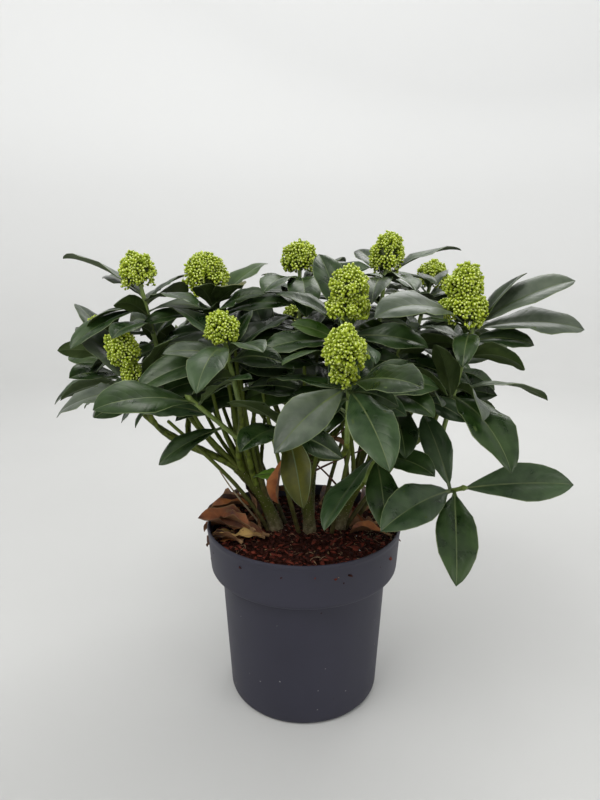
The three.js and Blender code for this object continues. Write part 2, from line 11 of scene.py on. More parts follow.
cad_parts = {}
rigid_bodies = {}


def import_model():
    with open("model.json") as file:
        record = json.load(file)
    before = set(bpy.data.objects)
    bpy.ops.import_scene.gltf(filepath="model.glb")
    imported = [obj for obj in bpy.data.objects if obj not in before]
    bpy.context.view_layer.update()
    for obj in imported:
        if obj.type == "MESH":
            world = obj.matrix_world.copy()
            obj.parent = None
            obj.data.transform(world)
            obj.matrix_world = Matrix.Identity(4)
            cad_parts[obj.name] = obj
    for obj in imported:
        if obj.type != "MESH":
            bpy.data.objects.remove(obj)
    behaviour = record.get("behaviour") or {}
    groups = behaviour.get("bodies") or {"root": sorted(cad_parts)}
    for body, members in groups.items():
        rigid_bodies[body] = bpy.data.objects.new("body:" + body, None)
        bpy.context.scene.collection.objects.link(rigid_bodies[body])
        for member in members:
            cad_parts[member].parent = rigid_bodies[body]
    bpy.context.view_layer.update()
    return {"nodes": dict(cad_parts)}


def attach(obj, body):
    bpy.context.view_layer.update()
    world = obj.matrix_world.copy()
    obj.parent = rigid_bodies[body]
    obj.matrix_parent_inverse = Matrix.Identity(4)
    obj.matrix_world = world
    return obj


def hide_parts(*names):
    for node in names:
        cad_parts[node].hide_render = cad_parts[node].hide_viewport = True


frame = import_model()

# A potted skimmia: a low evergreen shrub with glossy leaves in whorls and domed panicles of
# green buds, in a grey nursery pot. Sizes are given in millimetres and meshes made in metres.

# ---------------------------------------------------------------- camera
# A camera at the height of the crown, half a metre in front of the pot and tipped down a little.

TIPPED_DOWN, TURNED_LEFT = 13.74, 0.38


# A new object of the scene.
def placed(name, data):
    thing = bpy.data.objects.new(name, data)
    bpy.context.scene.collection.objects.link(thing)
    return thing


camera = placed("camera", bpy.data.cameras.new("camera"))
camera.data.sensor_width = 36
camera.data.lens = 27.9
camera.location = (0, -0.511, 0.392)
camera.rotation_euler = (math.radians(90 - TIPPED_DOWN), 0, math.radians(TURNED_LEFT))
bpy.context.scene.camera = camera

# ---------------------------------------------------------------- studio
# A round cove of pale painted board that the pot stands in. Two broad lamps hang over it, one in
# front and one behind, a weak one fills from the right and one washes the wall, under a pale sky.

MM = 0.001
TINT_SPAN, GLOSS_SPAN, RELIEF_STRENGTH = (0.36, 0.64), (0.3, 0.7), 0.6


# A new node of a tree: its settings, and its sockets, each set to a value or fed by an output.
# What comes back are its outputs.
def new_node(tree, kind, sockets=(), **settings):
    node = tree.nodes.new(kind)
    for setting, value in settings.items():
        setattr(node, setting, value)
    for socket, value in dict(sockets).items():
        if isinstance(value, bpy.types.NodeSocket):
            tree.links.new(value, node.inputs[socket])
        else:
            node.inputs[socket].default_value = value
    return node.outputs


# A finish whose colour and gloss drift over patches of a size in mm, with fine relief on top.
def grained_finish(name, dark, light, patch, roughness, grain, depth, **shader):
    material = bpy.data.materials.new(name)
    material.use_nodes = True
    tree = material.node_tree
    place = new_node(tree, "ShaderNodeTexCoord")["Object"]
    drift = new_node(tree, "ShaderNodeTexNoise", {
        "Vector": place, "Scale": 1 / (patch * MM), "Detail": 5})["Fac"]
    share = new_node(tree, "ShaderNodeMapRange", {
        "Value": drift, "From Min": TINT_SPAN[0], "From Max": TINT_SPAN[1]})["Result"]
    tint = new_node(tree, "ShaderNodeMix", {"Factor": share, "A": (*dark, 1), "B": (*light, 1)},
                    data_type="RGBA")["Result"]
    gloss = new_node(tree, "ShaderNodeMapRange", {
        "Value": drift, "From Min": GLOSS_SPAN[0], "From Max": GLOSS_SPAN[1],
        "To Min": roughness[0], "To Max": roughness[1]})["Result"]
    pits = new_node(tree, "ShaderNodeTexNoise", {
        "Vector": place, "Scale": 1 / (grain * MM), "Detail": 3})["Fac"]
    relief = new_node(tree, "ShaderNodeBump", {
        "Height": pits, "Strength": RELIEF_STRENGTH, "Distance": depth * MM})["Normal"]
    surface = tree.nodes["Principled BSDF"]
    for socket, value in shader.items():
        surface.inputs[socket.replace("_", " ")].default_value = value
    for socket, source in (("Base Color", tint), ("Roughness", gloss), ("Normal", relief)):
        tree.links.new(source, surface.inputs[socket])
    return material


# A finish that turns from one pair of colours to another colour between two heights in mm.
def rising_finish(name, foot_dark, foot_light, top, low, high, patch=4, roughness=(0.55, 0.8), depth=0.35,
                  **shader):
    material = grained_finish(name, foot_dark, foot_light, patch, roughness, 0.9, depth, **shader)
    tree = material.node_tree
    tinted = tree.nodes["Principled BSDF"].inputs["Base Color"]
    place = new_node(tree, "ShaderNodeTexCoord")["Object"]
    height = new_node(tree, "ShaderNodeSeparateXYZ", {0: place})["Z"]
    rise = new_node(tree, "ShaderNodeMapRange", {
        "Value": height, "From Min": low * MM, "From Max": high * MM},
        interpolation_type="SMOOTHSTEP")["Result"]
    blend = new_node(tree, "ShaderNodeMix", {
        "Factor": rise, "A": tinted.links[0].from_socket, "B": (*top, 1)}, data_type="RGBA")["Result"]
    tree.links.new(blend, tinted)
    return material


# A plain mesh object of points in mm, smooth but for edges sharper than an angle.
def solid_piece(name, points, faces, materials=(), sharp=40):
    mesh = bpy.data.meshes.new(name)
    mesh.from_pydata((np.asarray(points, float) * MM).tolist(), [], faces)
    mesh.polygons.foreach_set("use_smooth", [True] * len(mesh.polygons))
    mesh.set_sharp_from_angle(angle=math.radians(sharp))
    for material in materials:
        mesh.materials.append(material)
    return placed(name, mesh)


# The faces between rings of points, each ring closed and turning the same way.
def ring_faces(rings, sides, first=0):
    return [(first + a * sides + b, first + a * sides + (b + 1) % sides,
             first + (a + 1) * sides + (b + 1) % sides, first + (a + 1) * sides + b)
            for a in range(rings - 1) for b in range(sides)]


# The points of a profile of (radius, z) turned about the upright axis.
def turned(profile, sides):
    angles = 2 * np.pi * np.arange(sides) / sides
    return np.array([(radius * np.cos(a), radius * np.sin(a), z) for radius, z in profile for a in angles])


# Parts, each given as points and faces, put together as one.
def joined(parts):
    points, faces = [], []
    for own_points, own_faces in parts:
        faces += [tuple(len(points) + corner for corner in face) for face in own_faces]
        points += own_points
    return points, faces


COVE_FLOOR, COVE_BEND, COVE_MIDDLE, COVE_TOP, COVE_SIDES = 1500, 600, 1500, 2600, 96
cove_profile = [(0.1, 0), (400, 0), (COVE_FLOOR, 0)]
for degrees in range(10, 91, 10):
    a = math.radians(degrees)
    cove_profile.append((COVE_FLOOR + COVE_BEND * math.sin(a), COVE_BEND - COVE_BEND * math.cos(a)))
cove_profile += [(COVE_FLOOR + COVE_BEND, COVE_MIDDLE), (COVE_FLOOR + COVE_BEND, COVE_TOP)]
cove_faces = [tuple(reversed(face)) for face in ring_faces(len(cove_profile), COVE_SIDES)]
cove_paint = rising_finish("cove_paint", (0.525, 0.526, 0.52), (0.54, 0.541, 0.535), (0.8, 0.804, 0.806),
                           -200, 900, 300, (0.75, 0.85), 0.1)
cove = solid_piece("cove", turned(cove_profile, COVE_SIDES), cove_faces, [cove_paint], sharp=80)

for name, place, aim, size, watts, color in (
        ("window", (-0.7, -0.7, 1.5), (0, 0, 0.25), 1.1, 13, (1.0, 1.0, 0.98)),
        ("far_window", (0.5, 1.1, 1.7), (0, 0, 0.3), 1.2, 13, (1.0, 1.0, 0.98)),
        ("fill", (1.2, -0.9, 0.9), (0, 0, 0.2), 1.0, 5, (1.0, 0.99, 0.97)),
        ("wall_wash", (0, 0.7, 2.0), (0, 2.1, 1.3), 1.4, 9, (1.0, 1.0, 0.99))):
    lamp = placed(name, bpy.data.lights.new(name, "AREA"))
    lamp.data.shape = "DISK"
    lamp.data.size = size
    lamp.data.energy = watts
    lamp.data.color = color
    lamp.location = place
    lamp.rotation_euler = (Vector(aim) - Vector(place)).to_track_quat("-Z", "Y").to_euler()
sky = bpy.data.worlds.new("pale_sky")
sky.use_nodes = True
sky.node_tree.nodes["Background"].inputs["Color"].default_value = (0.91, 0.91, 0.9, 1)
sky.node_tree.nodes["Background"].inputs["Strength"].default_value = 0.8
bpy.context.scene.world = sky
bpy.context.scene.view_settings.view_transform = "Standard"

# ---------------------------------------------------------------- pot
# A round nursery pot of slate grey polypropylene, blown thin in one piece with a deep collar and a
# small lip at the rim. Water drains through eight round holes in its floor.

POT_HEIGHT, RIM_RADIUS, POT_SIDES, POT_FLOOR = 158, 85, 144, 2.4
HOLES, HOLE_RADIUS, HOLE_RING, DRILL_LENGTH = 8, 4.5, 50, 12

pot_outside = [(62.5, 0), (64.2, 0.3), (65.6, 1.2), (66.6, 2.6), (67.1, 4.4), (67.5, 12), (68.6, 32),
               (69.9, 56), (71.2, 80), (72.4, 103), (72.9, 112), (73.2, 115.6), (73.8, 117.2), (75.2, 118),
               (78.6, 118), (80.4, 118.3), (81.7, 119.2), (82.4, 120.6), (82.7, 122.6), (83.3, 131),
               (84.1, 143), (84.7, 151.6), (84.75, 153.4), (85.1, 154.2), (85.3, 155.4), (85.2, 156.8),
               (84.8, 157.7), (84.2, 158)]
pot_inside = [(83.6, 157.8), (83.2, 157), (82.9, 154), (81.6, 130), (81, 124.6), (80.2, 123), (78.6, 122.2),
              (73.4, 121), (71.8, 118), (71.1, 113), (68.3, 60), (65.6, 8), (64.6, 4.6), (62.4, 2.8),
              (60.8, POT_FLOOR)]
pot_profile = [(20, 0), (45, 0), (56, 0), *pot_outside, *pot_inside, (45, POT_FLOOR), (20, POT_FLOOR)]
pot_points = turned(pot_profile, POT_SIDES)
pot_faces = ring_faces(len(pot_profile), POT_SIDES)
under, over, last = len(pot_points), len(pot_points) + 1, len(pot_points) - POT_SIDES
pot_faces += [(under, (b + 1) % POT_SIDES, b) for b in range(POT_SIDES)]
pot_faces += [(over, last + b, last + (b + 1) % POT_SIDES) for b in range(POT_SIDES)]
pot_points = np.vstack([pot_points, [(0, 0, 0), (0, 0, POT_FLOOR)]])
pot_plastic = grained_finish("pot_plastic", (0.0218, 0.0212, 0.0368), (0.0278, 0.027, 0.0444), 60,
                             (0.5, 0.62), 0.9, 0.05, Specular_IOR_Level=0.42)
blank = solid_piece("pot_blank", pot_points, pot_faces, [pot_plastic], sharp=30)


# The piece that a bmesh makes, which is used up.
def piece_of(name, shape):
    mesh = bpy.data.meshes.new(name)
    shape.to_mesh(mesh)
    shape.free()
    return placed(name, mesh)


# A piece as its modifiers make it, as a plain mesh. The one with the modifiers is used up.
def settled(name, piece):
    sight = bpy.context.evaluated_depsgraph_get()
    mesh = bpy.data.meshes.new_from_object(piece.evaluated_get(sight), depsgraph=sight)
    bpy.data.objects.remove(piece)
    return placed(name, mesh)


drills = bmesh.new()
for hole in range(HOLES):
    turn = 2 * math.pi * (hole + 0.5) / HOLES
    drill = bmesh.ops.create_cone(drills, cap_ends=True, segments=24, radius1=HOLE_RADIUS * MM,
                                  radius2=HOLE_RADIUS * MM, depth=DRILL_LENGTH * MM)
    bmesh.ops.translate(drills, verts=drill["verts"],
                        vec=(HOLE_RING * MM * math.cos(turn), HOLE_RING * MM * math.sin(turn), 1 * MM))
drill_set = piece_of("drills", drills)
cut = blank.modifiers.new("drain_holes", "BOOLEAN")
cut.object = drill_set
cut.solver = "EXACT"
pot = settled("nursery_pot", blank)
bpy.data.objects.remove(drill_set)
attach(pot, "root")
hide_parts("pot")

# ---------------------------------------------------------------- splashes on the pot
# Specks of dried lime and crumbs of compost stuck to the outside of the pot, most of them low on
# its body, where watering splashes, and a few on the collar.


# A tree that strews copies of a grain over a surface, each square to it but for a random tilt.
def strewing_tree():
    tree = bpy.data.node_groups.new("strewing", "GeometryNodeTree")
    for label, kind in (("Surface", "Geometry"), ("Grain", "Object"), ("Spacing", "Float"),
                        ("Per square metre", "Float"), ("Smallest", "Vector"), ("Largest", "Vector"),
                        ("Tilt", "Float"), ("Seed", "Int"), ("Finish", "Material"),
                        ("Tip and highlight finish", "Material")):
        tree.interface.new_socket(label, in_out="INPUT", socket_type="NodeSocket" + kind)
    tree.interface.new_socket("Strewn", in_out="OUTPUT", socket_type="NodeSocketGeometry")
    given = new_node(tree, "NodeGroupInput")
    spots = new_node(tree, "GeometryNodeDistributePointsOnFaces", {
        "Mesh": given["Surface"], "Distance Min": given["Spacing"], "Density Max": given["Per square metre"],
        "Seed": given["Seed"]}, distribute_method="POISSON")
    grain = new_node(tree, "GeometryNodeObjectInfo", {"Object": given["Grain"]})
    size = new_node(tree, "FunctionNodeRandomValue", {
        0: given["Smallest"], 1: given["Largest"], "Seed": given["Seed"]}, data_type="FLOAT_VECTOR")
    back = new_node(tree, "ShaderNodeMath", {0: given["Tilt"], 1: -1}, operation="MULTIPLY")[0]
    low = new_node(tree, "ShaderNodeCombineXYZ", {"X": back, "Y": back, "Z": -math.pi})
    high = new_node(tree, "ShaderNodeCombineXYZ", {"X": given["Tilt"], "Y": given["Tilt"], "Z": math.pi})
    lean = new_node(tree, "FunctionNodeRandomValue", {
        0: low[0], 1: high[0], "Seed": given["Seed"]}, data_type="FLOAT_VECTOR")
    turn = new_node(tree, "FunctionNodeEulerToRotation", {0: lean[0]})
    turned_by = new_node(tree, "FunctionNodeRotateRotation", {
        "Rotation": spots["Rotation"], "Rotate By": turn[0]}, rotation_space="LOCAL")
    copies = new_node(tree, "GeometryNodeInstanceOnPoints", {
        "Points": spots["Points"], "Instance": grain["Geometry"], "Rotation": turned_by[0], "Scale": size[0]})
    real = new_node(tree, "GeometryNodeRealizeInstances", {"Geometry": copies["Instances"]})
    body = new_node(tree, "GeometryNodeSetMaterial", {
        "Geometry": real["Geometry"], "Material": given["Finish"]})
    # Faces with the tip mark, the tops of the buds, take their own finish, a paler colour that also paints
    # their highlight.
    tip_and_highlight_faces = new_node(tree, "GeometryNodeInputNamedAttribute", {"Name": "tip"}, data_type="BOOLEAN")
    tips = new_node(tree, "GeometryNodeSetMaterial", {
        "Geometry": body["Geometry"], "Selection": tip_and_highlight_faces["Attribute"], "Material": given["Tip and highlight finish"]})
    new_node(tree, "NodeGroupOutput", {"Strewn": tips["Geometry"]})
    return tree


STREWING = strewing_tree()


# Strews a grain over a surface and keeps the result as a plain mesh piece. Both are used up.
def strewn_piece(name, surface, grain, spacing, density, smallest, largest, tilt, seed, finish, tip_and_highlight_finish):
    strewer = surface.modifiers.new("strewing", "NODES")
    strewer.node_group = STREWING
    given = {"Grain": grain, "Spacing": spacing * MM, "Per square metre": float(density),
             "Smallest": tuple(v * MM for v in smallest), "Largest": tuple(v * MM for v in largest),
             "Tilt": float(tilt), "Seed": seed, "Finish": finish, "Tip and highlight finish": tip_and_highlight_finish}
    for socket in STREWING.interface.items_tree:
        if socket.in_out == "INPUT" and socket.name in given:
            strewer[socket.identifier] = given[socket.name]
    surface.update_tag()
    piece = settled(name, surface)
    piece.data.polygons.foreach_set("use_smooth", [True] * len(piece.data.polygons))
    bpy.data.objects.remove(grain)
    return piece


# A lump of twenty faces with a rough skin, about two units across before it is scaled.
def lump(name, seed, roughness=0.25):
    ball = bmesh.new()
    bmesh.ops.create_icosphere(ball, subdivisions=1, radius=1)
    for vert in ball.verts:
        vert.co *= 1 + roughness * noise.noise(vert.co * 1.7 + Vector((seed * 3.1, seed, 0)))
    return piece_of(name, ball)


BAND_SIDES = 72


# A band of the pot's outside between two heights and two azimuths, as a surface to strew over.
def pot_band(low, high, first, last):
    band = [point for point in pot_outside if low <= point[1] <= high]
    faces = [face for face in ring_faces(len(band), BAND_SIDES)
             if first <= 360 / BAND_SIDES * (face[0] % BAND_SIDES) < last]
    return solid_piece("pot_band", turned(band, BAND_SIDES), faces)


lime = grained_finish("dried_lime", (0.35, 0.34, 0.32), (0.55, 0.54, 0.5), 2, (0.7, 0.9), 0.3, 0.05)
crumb = grained_finish("compost_crumb", (0.014, 0.004, 0.002), (0.045, 0.014, 0.009), 2, (0.8, 0.95),
                       0.4, 0.1, Specular_IOR_Level=0.05)
for name, band, spacing, density, small, large, seed, finish in (
        ("lime_specks_low", (4, 60, 0, 360), 9, 900, 0.22, 0.5, 3, lime),
        ("lime_specks_high", (31, 113, 0, 360), 14, 260, 0.18, 0.4, 8, lime),
        ("crumbs_on_collar", (119, 154, 0, 360), 16, 330, 0.35, 1.0, 5, crumb),
        ("crumbs_by_the_rim", (119, 158, 0, 25), 3, 16000, 0.4, 1.3, 6, crumb),
        ("crumbs_on_body", (4, 113, 0, 360), 20, 160, 0.3, 0.8, 11, crumb)):
    specks = strewn_piece(name, pot_band(*band), lump("speck", seed), spacing, density,
                          (small, small, 0.12), (large, large * 1.4, 0.4), 0.2, seed, finish, finish)
    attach(specks, "root")

# ---------------------------------------------------------------- compost
# Moist bark compost, filled to a thumb's breadth under the rim and heaped a little round the
# stems. It is a crumbly bed with chips of red-brown bark, pale fibres, mossy grit at one side and
# a few grains of perlite.

COMPOST_LEVEL, COMPOST_MOUND, BED_DEPTH = 146, 3, 14
BED_RADIUS, BED_SIDES, BED_RINGS, BED_TAPER = 82.4, 120, 34, 0.985
COMPOST_BUMPS = ((2.2, 17, 3.3), (1.3, 6, 9.1), (0.7, 2.3, 1.7))


# Height of the compost at a place, in mm. Each kind of bump has a height, a breadth and a noise
# of its own.
def compost_height(x, y):
    share = math.hypot(x, y) / RIM_RADIUS
    bumps = sum(height * noise.noise(Vector((x / breadth, y / breadth, own)))
                for height, breadth, own in COMPOST_BUMPS)
    return COMPOST_LEVEL + COMPOST_MOUND * (1 - share * share) + bumps


bed_points = [(0, 0, compost_height(0, 0))]
for ring in range(1, BED_RINGS + 1):
    radius = BED_RADIUS * ring / BED_RINGS
    for a in (2 * math.pi * side / BED_SIDES for side in range(BED_SIDES)):
        x, y = radius * math.cos(a), radius * math.sin(a)
        bed_points.append((x, y, compost_height(x, y)))
bed_points += [(BED_TAPER * x, BED_TAPER * y, COMPOST_LEVEL - BED_DEPTH)
               for x, y, z in bed_points[-BED_SIDES:]]
bed_points.append((0, 0, COMPOST_LEVEL - BED_DEPTH))
skirt = 1 + BED_RINGS * BED_SIDES
bed_faces = [(0, 1 + b, 1 + (b + 1) % BED_SIDES) for b in range(BED_SIDES)]
bed_faces += [tuple(reversed(face)) for face in ring_faces(BED_RINGS + 1, BED_SIDES, 1)]
bed_faces += [(len(bed_points) - 1, skirt + (b + 1) % BED_SIDES, skirt + b) for b in range(BED_SIDES)]
compost_bed = grained_finish("compost_bed", (0.008, 0.002, 0.001), (0.04, 0.012, 0.008), 5, (0.8, 0.95),
                             0.8, 0.5, Specular_IOR_Level=0.05)
bed = solid_piece("compost_bed", bed_points, bed_faces, [compost_bed], sharp=75)
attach(bed, "root")
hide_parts("compost")


# The top of the bed within a distance in mm of a place.
def bed_surface(place, within):
    top = [face for face in bed_faces[:BED_SIDES * BED_RINGS]
           if math.dist(bed_points[face[0]][:2], place) < within]
    return solid_piece("bed_surface", bed_points[:skirt], top)


dark_bark = grained_finish("dark_bark_chip", (0.012, 0.003, 0.002), (0.048, 0.014, 0.01), 3, (0.55, 0.85),
                           0.6, 0.2, Specular_IOR_Level=0.1)
red_bark = grained_finish("red_bark_chip", (0.065, 0.012, 0.008), (0.2, 0.044, 0.027), 3, (0.55, 0.85),
                          0.6, 0.2, Specular_IOR_Level=0.1)
tan_bark = grained_finish("tan_bark_chip", (0.16, 0.09, 0.05), (0.3, 0.2, 0.11), 3, (0.7, 0.9),
                          0.6, 0.2, Specular_IOR_Level=0.2)
perlite = grained_finish("perlite", (0.5, 0.49, 0.45), (0.66, 0.65, 0.62), 1, (0.8, 0.95), 0.3, 0.1)
grit = grained_finish("mossy_grit", (0.07, 0.07, 0.03), (0.34, 0.31, 0.2), 1.2, (0.8, 0.95), 0.3, 0.1)
everywhere, right_edge = ((0, 0), 90), ((72, 6), 30)
for name, where, spacing, density, small, large, tilt, seed, finish in (
        ("bark_crumbs", everywhere, 1.5, 160000, (0.5, 0.4, 0.3), (1.4, 1.0, 0.7), 0.7, 20, dark_bark),
        ("dark_bark_chips", everywhere, 3.2, 50000, (1.8, 1.0, 0.4), (5.5, 3.2, 1.2), 0.6, 21, dark_bark),
        ("red_bark_chips", everywhere, 4.0, 30000, (1.8, 1.0, 0.4), (7.0, 3.2, 1.1), 0.55, 22, red_bark),
        ("tan_bark_chips", everywhere, 8.0, 7000, (1.2, 0.4, 0.2), (4.5, 1.0, 0.5), 0.5, 23, tan_bark),
        ("mossy_grit", right_edge, 1.4, 220000, (0.3, 0.3, 0.2), (0.9, 0.8, 0.6), 0.6, 25, grit),
        ("perlite_grains", everywhere, 11.0, 2200, (0.5, 0.5, 0.4), (1.1, 1.0, 0.8), 0.5, 24, perlite)):
    chips = strewn_piece(name, bed_surface(*where), lump("chip", seed, 0.5), spacing, density, small, large,
                         tilt, seed, finish, finish)
    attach(chips, "root")

# Pale roots and bark fibres that lie loose on the bed, thinner than a match.
STRANDS, STRAND_RINGS, STRANDS_WITHIN, STRAND_LIFT, STRAND_WAVE = 90, 7, 78, 0.9, 0.8
TURN_BACK_AT, TURN_BACK = 80, 0.9
draws = np.random.default_rng(31)


# One three-sided strand, which turns back where it nears the pot's wall.
def strand():
    radius, place = STRANDS_WITHIN * math.sqrt(draws.random()), draws.uniform(0, 2 * math.pi)
    x, y = radius * math.cos(place), radius * math.sin(place)
    course, bend = draws.uniform(0, 2 * math.pi), draws.uniform(-0.35, 0.35)
    thick, reach = draws.uniform(0.12, 0.28), draws.uniform(0.9, 2.1)
    points = []
    for step in range(STRAND_RINGS):
        z = compost_height(x, y) + STRAND_LIFT + STRAND_WAVE * math.sin(step + radius)
        for a in (2 * math.pi * side / 3 for side in range(3)):
            points.append((x - thick * math.cos(a) * math.sin(course),
                           y + thick * math.cos(a) * math.cos(course), z + thick * math.sin(a)))
        x, y = x + reach * math.cos(course), y + reach * math.sin(course)
        course += bend + (TURN_BACK if math.hypot(x, y) > TURN_BACK_AT else 0)
    last = len(points) - 3
    return points, ring_faces(STRAND_RINGS, 3) + [(2, 1, 0), (last, last + 1, last + 2)]


fibre = grained_finish("bark_fibre", (0.2, 0.11, 0.06), (0.42, 0.3, 0.18), 3, (0.7, 0.9), 0.4, 0.05)
fibres = solid_piece("bark_fibres", *joined([strand() for _ in range(STRANDS)]), [fibre], sharp=180)
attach(fibres, "root")

# ---------------------------------------------------------------- stems
# Four woody stems that rise from the compost and lean outward, each tapering from a flared foot.
# Their bark is grey-brown and warty at the foot and green above, with shallow cracks along it.

STEM_FOOT, ROOT_FLARE, FLARE_SHARE, STEM_RELIEF = 143, 1.5, 0.09, 0.07
WART_SPACING, WARTS_PER_SQUARE_METRE = 1.7, 90000
STEMS = {
    "left": {"foot": [-22, 2], "bow": [-32, -2, 186], "top": [-58, -6, 208], "radius": 6.6, "tip": 4.2},
    "middle": {"foot": [6, -4], "bow": [3, -4, 190], "top": [-4, -2, 224], "radius": 5.8, "tip": 3.8},
    "right": {"foot": [30, 4], "bow": [36, 2, 182], "top": [60, -4, 210], "radius": 6.2, "tip": 4.0},
    "back": {"foot": [4, 32], "bow": [4, 44, 184], "top": [14, 56, 220], "radius": 6.2, "tip": 4.0},
}


def unit(vector):
    return vector / np.linalg.norm(vector)


# Two unit vectors square to an axis and to each other.
def across(axis):
    u = unit(np.array([1.0, 0, 0]) - axis * axis[0])
    return u, np.cross(axis, u)


def bezier(controls, t):
    points = controls
    while len(points) > 1:
        points = points[:-1] * (1 - t) + points[1:] * t
    return points[0]


# A limb's line: what gives the point and the heading at a share of its length, and that length.
def limb_line(controls):
    controls = np.array(controls, float)
    times = np.linspace(0, 1, 201)
    points = np.array([bezier(controls, t) for t in times])
    lengths = np.concatenate([[0], np.cumsum(np.linalg.norm(np.diff(points, axis=0), axis=1))])

    def at(share):
        t = float(np.interp(share * lengths[-1], lengths, times))
        ahead = bezier(controls, min(t + 1e-4, 1)) - bezier(controls, max(t - 1e-4, 0))
        return bezier(controls, t), unit(ahead)

    return at, lengths[-1]


# The bark's relief, broad and fine: how deep, how close round the limb, and how long in mm.
CRACKS = ((1, 2, 7), (0.5, 5, 2))
FOOT_CAP, TOP_CAP = 0.3, 0.5


# The skin of a limb as points and faces, closed by a blunt cap at either end, with bark relief in
# and out of its true radius.
def limb_skin(line, radius, sides, rings, relief, seed):
    at, length = line
    u = across(at(0)[1])[0]
    points = []
    for share in (ring / (rings - 1) for ring in range(rings)):
        centre, ahead = at(share)
        u = unit(u - ahead * np.dot(u, ahead))
        v = np.cross(ahead, u)
        for a in (2 * math.pi * side / sides for side in range(sides)):
            ripple = sum(deep * noise.noise(Vector((close * math.cos(a), close * math.sin(a),
                                                    share * length / long + seed)))
                         for deep, close, long in CRACKS)
            out = u * math.cos(a) + v * math.sin(a)
            points.append(centre + out * radius(share) * (1 + relief * ripple))
    points += [at(0)[0] - at(0)[1] * FOOT_CAP, at(1)[0] + at(1)[1] * TOP_CAP * radius(1)]
    foot, top, last = rings * sides, rings * sides + 1, (rings - 1) * sides
    faces = ring_faces(rings, sides)
    faces += [(foot, (b + 1) % sides, b) for b in range(sides)]
    faces += [(top, last + b, last + (b + 1) % sides) for b in range(sides)]
    return points, faces


stem_bark = rising_finish("stem_bark", (0.09, 0.075, 0.038), (0.24, 0.2, 0.12), (0.062, 0.074, 0.01),
                          147, 173, Specular_IOR_Level=0.2)
lines, warty_skins = {}, []
for seed, (name, size) in enumerate(STEMS.items()):
    line = limb_line([[*size["foot"], STEM_FOOT - size["radius"]], size["bow"], size["top"]])
    lines[name] = line

    def stem_radius(share):
        taper = size["radius"] + (size["tip"] - size["radius"]) * share
        return taper * (1 + (ROOT_FLARE - 1) * math.exp(-share / FLARE_SHARE))

    skin = limb_skin(line, stem_radius, 36, 70, STEM_RELIEF, 10 * seed)
    stem = solid_piece("bark_of_stem_" + name, *skin, [stem_bark], sharp=70)
    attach(stem, "root")
    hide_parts("stem_" + name)
    warty_skins.append(limb_skin(line, stem_radius, 24, 24, STEM_RELIEF, 10 * seed))

wart_bark = grained_finish("bark_wart", (0.16, 0.13, 0.08), (0.32, 0.28, 0.19), 2, (0.7, 0.9), 0.4, 0.1)
warts = strewn_piece("bark_warts", solid_piece("wart_surface", *joined(warty_skins)), lump("wart", 2),
                     WART_SPACING, WARTS_PER_SQUARE_METRE, (0.2, 0.2, 0.15), (0.75, 0.5, 0.4), 0.1, 41,
                     wart_bark, wart_bark)
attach(warts, "root")

# ---------------------------------------------------------------- boughs
# One green bough from a stem to each leafy shoot, a little swollen at the fork and ringed by the
# scars of fallen leaves. The wood is young, so its bark is smooth, thin and green.

BOUGH_RADIUS, BOUGH_TIP, BOUGH_SPRINGS, BOUGH_SWELLS, BOUGH_RELIEF = 2.8, 2.1, 0.34, 0.3, 0.09
SCAR_STEP, SCAR_HEIGHT, SCAR_HALF, SWELLING_LENGTH = 8.5, 0.13, 0.8, 4

